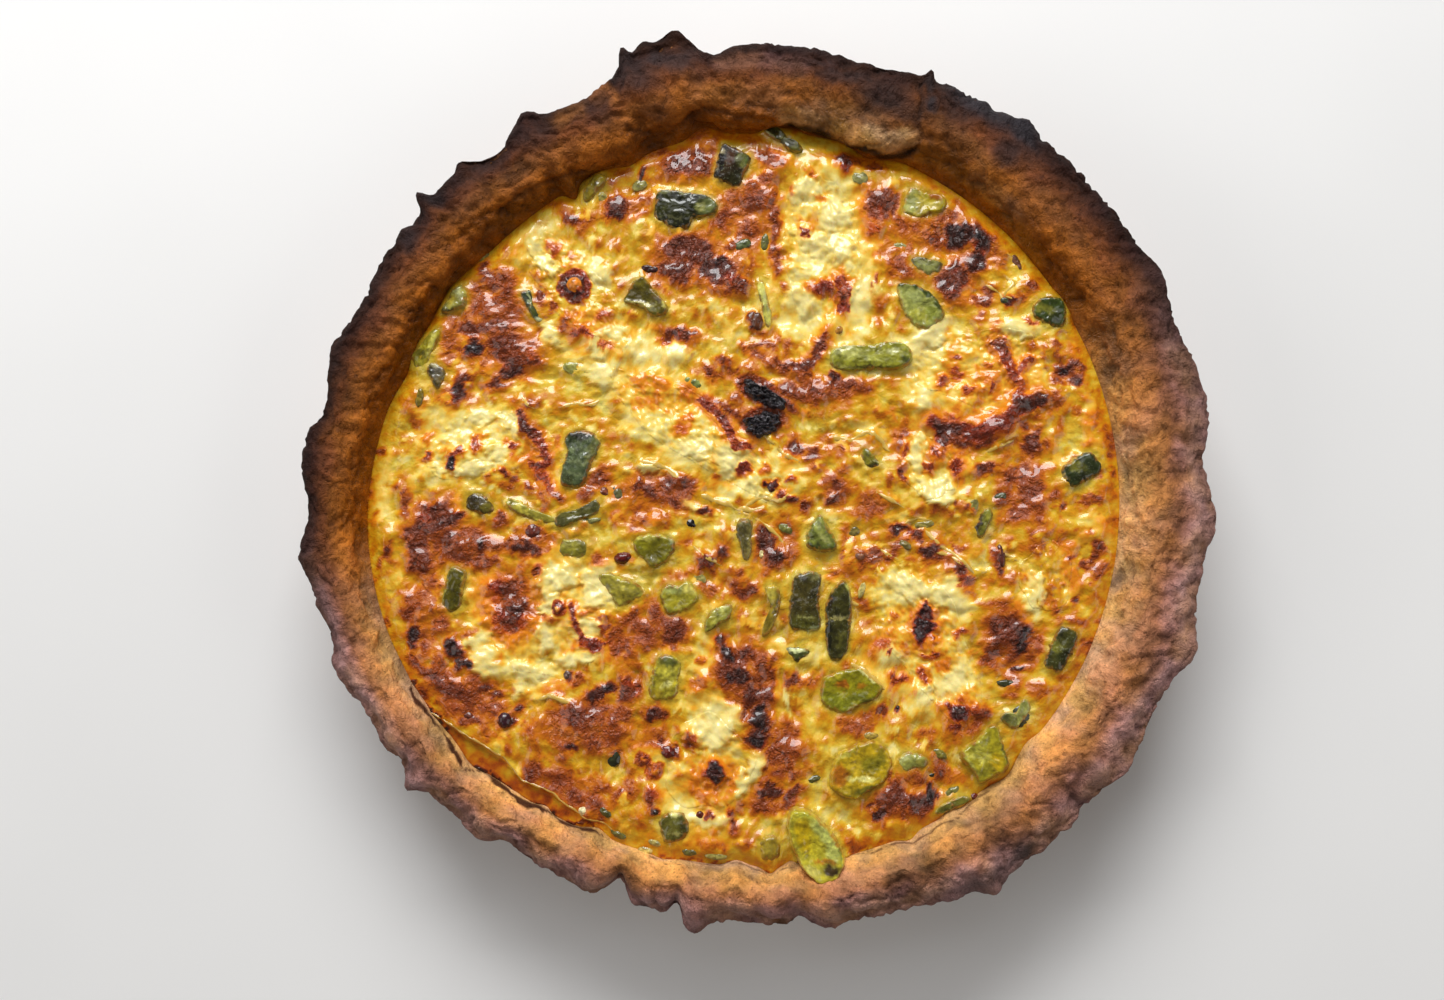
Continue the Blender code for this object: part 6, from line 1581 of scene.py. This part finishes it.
def make_crust(material):
    around = 880
    a = np.arange(around) / around * 2 * np.pi
    deg = np.degrees(a)
    s = upright(a)
    rin, rout = border_r(a), rim_r(a)
    ragged = fbm3(np.cos(a) * 26, np.sin(a) * 26, 0 * a, 301, 4, .6)
    tearing = np.abs(fbm3(np.cos(a) * 9, np.sin(a) * 9, 0 * a, 302, 3))
    rout = rout + 1.0 * ragged - 1.1 * tearing + .4
    band = rout - rin
    flap = lobes(deg, [(98.5, 2.6, 1.0), (104, 2.4, 1.0)])
    bulge = lobes(deg, [(72, 6, 3.6), (82, 8, 2.6), (66.5, 2.2, 1.0), (92, 5, 1.5), (60, 2.0, -1.6), (150, 14, 1.0)]) * s
    wave = fbm3(np.cos(a) * 4, np.sin(a) * 4, 0 * a, 303, 2)
    wave2 = fbm3(np.cos(a) * 9, np.sin(a) * 9, 0 * a, 304, 2)
    crest = 39.6 + 2.2 * s + 1.6 * wave + .7 * wave2 + .6 * flap
    edge = 34.4 + 5.4 * s + 1.4 * wave2 + 1.2 * wave + 1.6 * flap
    fold = .42 + .22 * s

    pressed = lobes(deg, [(281.0, 4.4, 1.0)])

    def ring(share, z, shift=0.0):
        return rin + share * band + shift, z + 0 * a

    # control points from the custard's edge over the rim and down the outside
    control = [
        ring(0, 28.4, -1.2), ring(0, 30.9, 0.0),
        ring(.10, 30.9 + .38 * (crest - 30.9) - 1.6 * pressed, -.9 * bulge), ring(.22, 30.9 + .75 * (crest - 30.9) - 2.8 * pressed, -1.0 * bulge),
        ring(fold * .72, crest - .5 - 1.6 * pressed, -.55 * bulge), ring(fold, crest), ring(fold + .55 * (1 - fold), crest * .55 + edge * .45 + .6 * (1 - s)),
        ring(1, edge + .9, -1.6), ring(1, edge, 0), ring(1, edge - 1.5, -.5),
        ring(fold + .5 * (1 - fold), crest * .45 + edge * .55 - 3.4, 0), ring(fold * .9, crest - 5.0),
    ]
    wall_r = 125.0 + 1.0 * (rin - 118.6) + 0 * a
    control += [(wall_r + .8, 30.0 + 0 * a), (wall_r - 1.2, 27.0 + 0 * a)]
    cr = np.stack([c[0] for c in control])
    cz = np.stack([c[1] for c in control])
    # through the control points with a smooth curve, evenly spaced
    fine = 12
    rr, zz, tt = [], [], []
    m = len(control)
    for i in range(m - 1):
        p0, p1, p2, p3 = max(i - 1, 0), i, i + 1, min(i + 2, m - 1)
        for k in range(fine):
            t = k / fine
            w = (-.5 * t + t ** 2 - .5 * t ** 3, 1 - 2.5 * t ** 2 + 1.5 * t ** 3, .5 * t + 2 * t ** 2 - 1.5 * t ** 3, -.5 * t ** 2 + .5 * t ** 3)
            rr.append(w[0] * cr[p0] + w[1] * cr[p1] + w[2] * cr[p2] + w[3] * cr[p3])
            zz.append(w[0] * cz[p0] + w[1] * cz[p1] + w[2] * cz[p2] + w[3] * cz[p3])
            tt.append(i + t)
    rr.append(cr[-1])
    zz.append(cz[-1])
    tt.append(m - 1.0)
    rr, zz, tt = np.stack(rr), np.stack(zz), np.array(tt)
    count = 78
    length = np.concatenate([[0], np.cumsum(np.hypot(np.diff(rr, axis=0), np.diff(zz, axis=0)).mean(1))])
    weight = np.interp(tt, [0, 1, 8.5, 9.5, m - 1], [1.0, 1.35, 1.35, .7, .5])
    length = np.concatenate([[0], np.cumsum(np.diff(length) * weight[1:])])
    want = np.linspace(0, length[-1], count)
    place = np.interp(want, length, np.arange(len(length)))
    lo = np.clip(place.astype(int), 0, len(length) - 2)
    fr = (place - lo)[:, None]
    R = rr[lo] * (1 - fr) + rr[lo + 1] * fr
    Z = zz[lo] * (1 - fr) + zz[lo + 1] * fr
    T = np.interp(want, length, tt)

    A = np.broadcast_to(a, R.shape)
    X, Y = R * np.cos(A), R * np.sin(A)
    U, V = px_of(X, Y, Z)
    over = np.broadcast_to((smooth(.3, .9, T) * smooth(9.4, 8.6, T))[:, None], R.shape)
    body = np.broadcast_to(smooth(.6, 2.0, T)[:, None], R.shape)
    n1 = fbm3(X / 17, Y / 17, Z / 17, 311, 3)
    n2 = fbm3(X / 5.5, Y / 5.5, Z / 5.5, 312, 3)
    n3 = fbm3(X / 2.0, Y / 2.0, Z / 2.0, 313, 2)
    n0 = fbm3(X / 34, Y / 34, Z / 34, 310, 2)
    pleat = np.abs(fbm3(X / 11 + 3 * n1, Y / 11, Z / 11, 314, 2))
    push = body * (1.6 * n0 + 2.4 * n1 + 1.3 * n2 + .42 * n3 - 2.4 * np.clip(.10 - pleat, 0, 1) * 4)
    share = np.clip((R - rin) / np.maximum(band, 1), -.2, 1.1)
    dark = np.zeros_like(R)
    deep = np.zeros_like(R)
    for points, half, depth, tone in RIM_FOLDS:
        q = line_distance(U + 1.5 * n2, V + 1.5 * n2, points) / half
        g = np.exp(-q ** 2) * over
        deep = np.maximum(deep, depth * g)
        dark = np.maximum(dark, tone * smooth(1.9, .3, q) * over)
    # normals of the section, for pushing in and out
    dR, dZ = np.gradient(R, axis=0), np.gradient(Z, axis=0)
    size = np.maximum(np.hypot(dR, dZ), 1e-6)
    NR, NZ = -dZ / size, dR / size
    R2, Z2 = R + NR * (push - deep), Z + NZ * (push - deep)
    X, Y = R2 * np.cos(A), R2 * np.sin(A)

    # colours, linear
    far = np.broadcast_to(s, R.shape)
    U2 = U + 5 * n2 + 8 * n1
    V2 = V + 5 * n2 - 6 * n1
    shr = share + .24 * n1 + .16 * n2

    def ramp(value, stops):
        at = [k for k, _ in stops]
        cols = np.array([c[:3] for _, c in stops])
        return np.stack([np.interp(value, at, cols[:, i]) for i in range(3)], -1)

    # painted light and shade over the pastry's own browning: the near rim runs from light tan by the custard, where it
    # slopes toward the window, to purple-grey at the drooping edge; the far side is darker overall, partly its stronger
    # baking and partly painted shade where it faces away from the window
    near_col = ramp(shr, [(0, rgb(224, 178, 122)), (.14, rgb(218, 164, 108)), (.32, rgb(202, 140, 88)), (.50, rgb(178, 118, 76)),
                          (.66, rgb(192, 136, 110)), (.82, rgb(190, 144, 126)), (1, rgb(142, 102, 88))])
    far_col = ramp(shr, [(0, rgb(146, 81, 8)), (.12, rgb(138, 76, 10)), (.24, rgb(160, 92, 22)), (.42, rgb(150, 90, 36)),
                         (.60, rgb(118, 66, 30)), (.80, rgb(66, 34, 18)), (.94, rgb(46, 23, 15)), (1, rgb(36, 18, 13))])
    col = near_col * (1 - far)[..., None] + far_col * far[..., None]
    # the bulge beside the fold is painted lighter
    pale = smooth(1.5, .2, oval(U2, V2, (845, 122, 66, 16, 14))) * over
    col = col * (1 - .5 * pale)[..., None] + rgb_array(184, 132, 78) * (.5 * pale)[..., None]
    for points, half, tone, strength in RIM_BANDS:
        g = strength * smooth(1.5, .3, line_distance(U2, V2, points) / half) * over
        col = col * (1 - g)[..., None] + rgb_array(*tone) * g[..., None]
    burn = np.zeros_like(R)
    blue = np.zeros_like(R)
    for spec in RIM_BURNS:
        g = spec[5] * smooth(1.5, .3, oval(U2, V2, spec)) * over
        burn = np.maximum(burn, g)
        blue = np.maximum(blue, g * spec[6])
    # the unseen right-hand side is scorched here and there as well
    unseen = smooth(1040, 1075, U) + smooth(402, 380, U)
    scorch = smooth(.12, .42, fbm3(X / 26, Y / 26, Z / 26, 321, 3)) * np.clip(unseen, 0, 1) * over * smooth(.3, .7, share)
    burn = np.maximum(burn, .7 * scorch)
    mottling = np.clip(1 + .75 * n2 + 1.1 * n1 + .35 * n3, .3, 1.9)
    col = col * mottling[..., None]
    hue = np.clip(.5 + 2.2 * fbm3(X / 12, Y / 12, Z / 12, 316, 3), 0, 1)[..., None]
    col = col * ((1 - hue) * np.array([.92, .90, 1.12]) + hue * np.array([1.06, 1.0, .74]))
    # burnt pastry: dark brown, turning blue-grey by painted sheen where the burn's blue share is high
    burnt = rgb_array(46, 28, 24) * (1 - np.clip(blue / np.maximum(burn, .01), 0, 1))[..., None] + rgb_array(48, 46, 52) * np.clip(blue / np.maximum(burn, .01), 0, 1)[..., None]
    col = col * (1 - burn)[..., None] + burnt * burn[..., None]
    # painted shade in the folds and cracks
    col = col * (1 - .8 * dark)[..., None] + rgb_array(36, 20, 14) * (.8 * dark)[..., None]
    # custard fat soaked in along the far border, and a dark line along the near one, browned caramel at the lower left
    soak = smooth(.30, .02, shr) * smooth(.2, .8, far)
    tear = smooth(7.2, 8.0, T)[:, None] * smooth(10.4, 9.2, T)[:, None] * (.55 + .45 * n2)
    tear = tear * (.3 + .7 * far)
    col = col * (1 - .45 * tear)[..., None] + rgb_array(60, 34, 22) * (.45 * tear)[..., None]
    line = np.zeros_like(R)
    for points, half, tone in ((BURNT_LINE, 1.7, .95), (NEAR_LINE, .8, .6), (RIGHT_LINE, 1.0, .7)):
        wide = half * np.clip(.8 + 3.6 * n2 + 2.0 * n1, .1, 2.6)
        line = np.maximum(line, tone * smooth(1.5, .5, line_distance(U + 1.5 * n2, V - 1.5 * n2, points) / wide))
    line = line * over
    col = col * (1 - line)[..., None] + rgb_array(58, 18, 6) * line[..., None]
    below = np.broadcast_to(smooth(9.0, 10.2, T)[:, None], R.shape)
    col = col * (1 - below)[..., None] + (rgb_array(150, 98, 56) * (1 + .2 * n2 + .15 * n1)[..., None]) * below[..., None]
    # painted sheen: a purple-grey sheen on the near rim's drooping outer part
    grey = smooth(.5, .85, shr) * (1 - far) * over * smooth(-.25, .2, n1 + .6 * n2)
    col = col * (1 - .45 * grey)[..., None] + rgb_array(150, 116, 112) * (.45 * grey)[..., None]

    verts = np.stack([X.ravel(), Y.ravel(), Z2.ravel()], -1)
    faces = grid_faces(count, around, wrap=True)
    # down the outside to the base, and inside down to the floor, as plain rings
    outer_rings = [(123.6, 24.5, .8), (121.3, 21.0, .7), (119.2, 17.8, .6), (116.9, 14.4, .5), (114.6, 11.0, .4), (112.3, 7.4, .3), (110.6, 4.6, .2), (109.6, 2.6, .15), (108.6, .8, .1), (106.8, 0.0, .1), (70, 0.0, 0), (30, 0, 0)]
    inner_rings = [(116.3, 25.5, 1.0), (110.5, 15.5, .6), (104.4, 6.2, 0), (101, 5.0, 0), (60, 5.0, 0)]
    j = np.arange(around)
    blocks, extra, cols = [faces], [], []
    prev = (count - 1) * around + j
    size_now = len(verts)
    for radius, height, follow in outer_rings:
        rr_ = radius + follow * (rin - 118.6)
        wob = fbm3(rr_ * np.cos(a) / 12, rr_ * np.sin(a) / 12, 0 * a + height / 12, 331, 3) * (.5 if height > 1 else 0)
        extra.append(np.stack([(rr_ + wob) * np.cos(a), (rr_ + wob) * np.sin(a), np.full(around, height)], -1))
        tone = rgb_array(160, 104, 56) if height > .5 else rgb_array(142, 90, 50)
        toast = 1 + 1.1 * fbm3(rr_ * np.cos(a) / 15, rr_ * np.sin(a) / 15, 0 * a + height / 9, 332, 4)
        cols.append(np.broadcast_to(tone, (around, 3)) * (toast * (1 + .25 * wob))[:, None])
        cur = size_now + j
        blocks.append(np.stack([prev, cur, cur[(j + 1) % around], prev[(j + 1) % around]], -1))
        prev = cur
        size_now += around
    extra.append(np.array([[0, 0, 0.0]]))
    cols.append(np.array([rgb_array(142, 90, 50)]))
    blocks.append(np.stack([prev, np.full(around, size_now), prev[(j + 1) % around]], -1))
    size_now += 1
    prev = j
    for radius, height, follow in inner_rings:
        rr_ = radius + follow * (rin - 118.6)
        extra.append(np.stack([rr_ * np.cos(a), rr_ * np.sin(a), np.full(around, height)], -1))
        cols.append(np.broadcast_to(rgb_array(190, 140, 84), (around, 3)))
        cur = size_now + j
        blocks.append(np.stack([prev, prev[(j + 1) % around], cur[(j + 1) % around], cur], -1))
        prev = cur
        size_now += around
    extra.append(np.array([[0, 0, 5.0]]))
    cols.append(np.array([rgb_array(190, 140, 84)]))
    blocks.append(np.stack([prev, prev[(j + 1) % around], np.full(around, size_now)], -1))
    size_now += 1
    more = size_now - len(verts)
    verts = np.concatenate([verts] + extra)
    colour = np.clip(np.concatenate([col.reshape(-1, 3)] + cols), 0, 1)
    fields = {"oily": np.concatenate([soak.ravel(), np.zeros(more)]),
              "dark": np.concatenate([burn.ravel(), np.zeros(more)]),
              "grey": np.concatenate([np.maximum(grey, blue).ravel(), np.zeros(more)])}
    piece = build("crust_baked", verts, blocks, material, fields, colour)
    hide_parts("crust")
    return piece


# =====================================================================================
# put it together
# =====================================================================================
top_material = baked_top("baked_custard_and_cheese")
make_filling(top_material)
make_cheese(top_material)
vegetable = zucchini_skin("cooked_zucchini")
make_zucchini(vegetable)
make_bits(vegetable)
make_strands("cheese_threads", STRANDS, plain("melted_threads", rgb(230, 188, 84), .25, .3, 700, .9))
make_strands("oil_edge", [(OIL_LINE, 1.0, .46)], plain("set_oil", rgb(206, 160, 70), .08, .2, 900, 1.0))
make_crust(pastry("baked_pastry"))
char_material = char("charred_crisp")
for order, (name, x0, y0, a_, b_, heading) in enumerate(CHARRED):
    points, polys = dome(CRISP_PLANS[name], 96, 26, LEVEL + .5, 1.3, 500 + 9 * order, .9, width=1.2, ragged=.13)
    piece = build(name + "_crisp", points, polys, char_material)
    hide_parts(name)

# ---- floor and light -------------------------------------------------------------------
floor_mesh = bpy.data.meshes.new("floor")
floor_mesh.from_pydata([(-3, -3, 0), (3, -3, 0), (3, 3, 0), (-3, 3, 0)], [], [(0, 1, 2, 3)])
floor_mesh.materials.append(plain("pale_floor", rgb(250, 249, 247), .6, 0.0, 3))
floor = bpy.data.objects.new("floor", floor_mesh)
bpy.context.scene.collection.objects.link(floor)
floor.location = (0, 0, -0.0004)


def area(name, location, target, size, power, colour):
    data = bpy.data.lights.new(name, "AREA")
    data.shape = "RECTANGLE"
    data.size, data.size_y = size
    data.energy = power
    data.color = colour
    made = bpy.data.objects.new(name, data)
    bpy.context.scene.collection.objects.link(made)
    made.location = location
    aim = Vector(target) - Vector(location)
    made.rotation_euler = aim.to_track_quat("-Z", "Y").to_euler()
    return made


area("window", (-0.12, 1.20, 0.86), (0, 0, 0.03), (1.1, 0.6), 24.2, (0.98, 0.99, 1.0))
area("upper_window", (-0.10, 0.78, 1.22), (0, 0, 0.03), (1.0, 0.8), 2.6, (0.94, 0.94, 1.0))
area("room_left", (-1.3, -0.2, 0.75), (0, 0, 0.03), (1.2, 1.0), 5.2, (1.0, 0.98, 0.96))
area("room_right", (1.3, -0.35, 0.8), (0, 0, 0.03), (1.2, 1.0), 4.6, (1.0, 0.98, 0.95))
world = bpy.data.worlds.new("soft_room")
bpy.context.scene.world = world
world.use_nodes = True
world.node_tree.nodes["Background"].inputs["Color"].default_value = (1.0, 0.975, 0.94, 1)
world.node_tree.nodes["Background"].inputs["Strength"].default_value = 0.105
bpy.context.scene.view_settings.view_transform = "Standard"
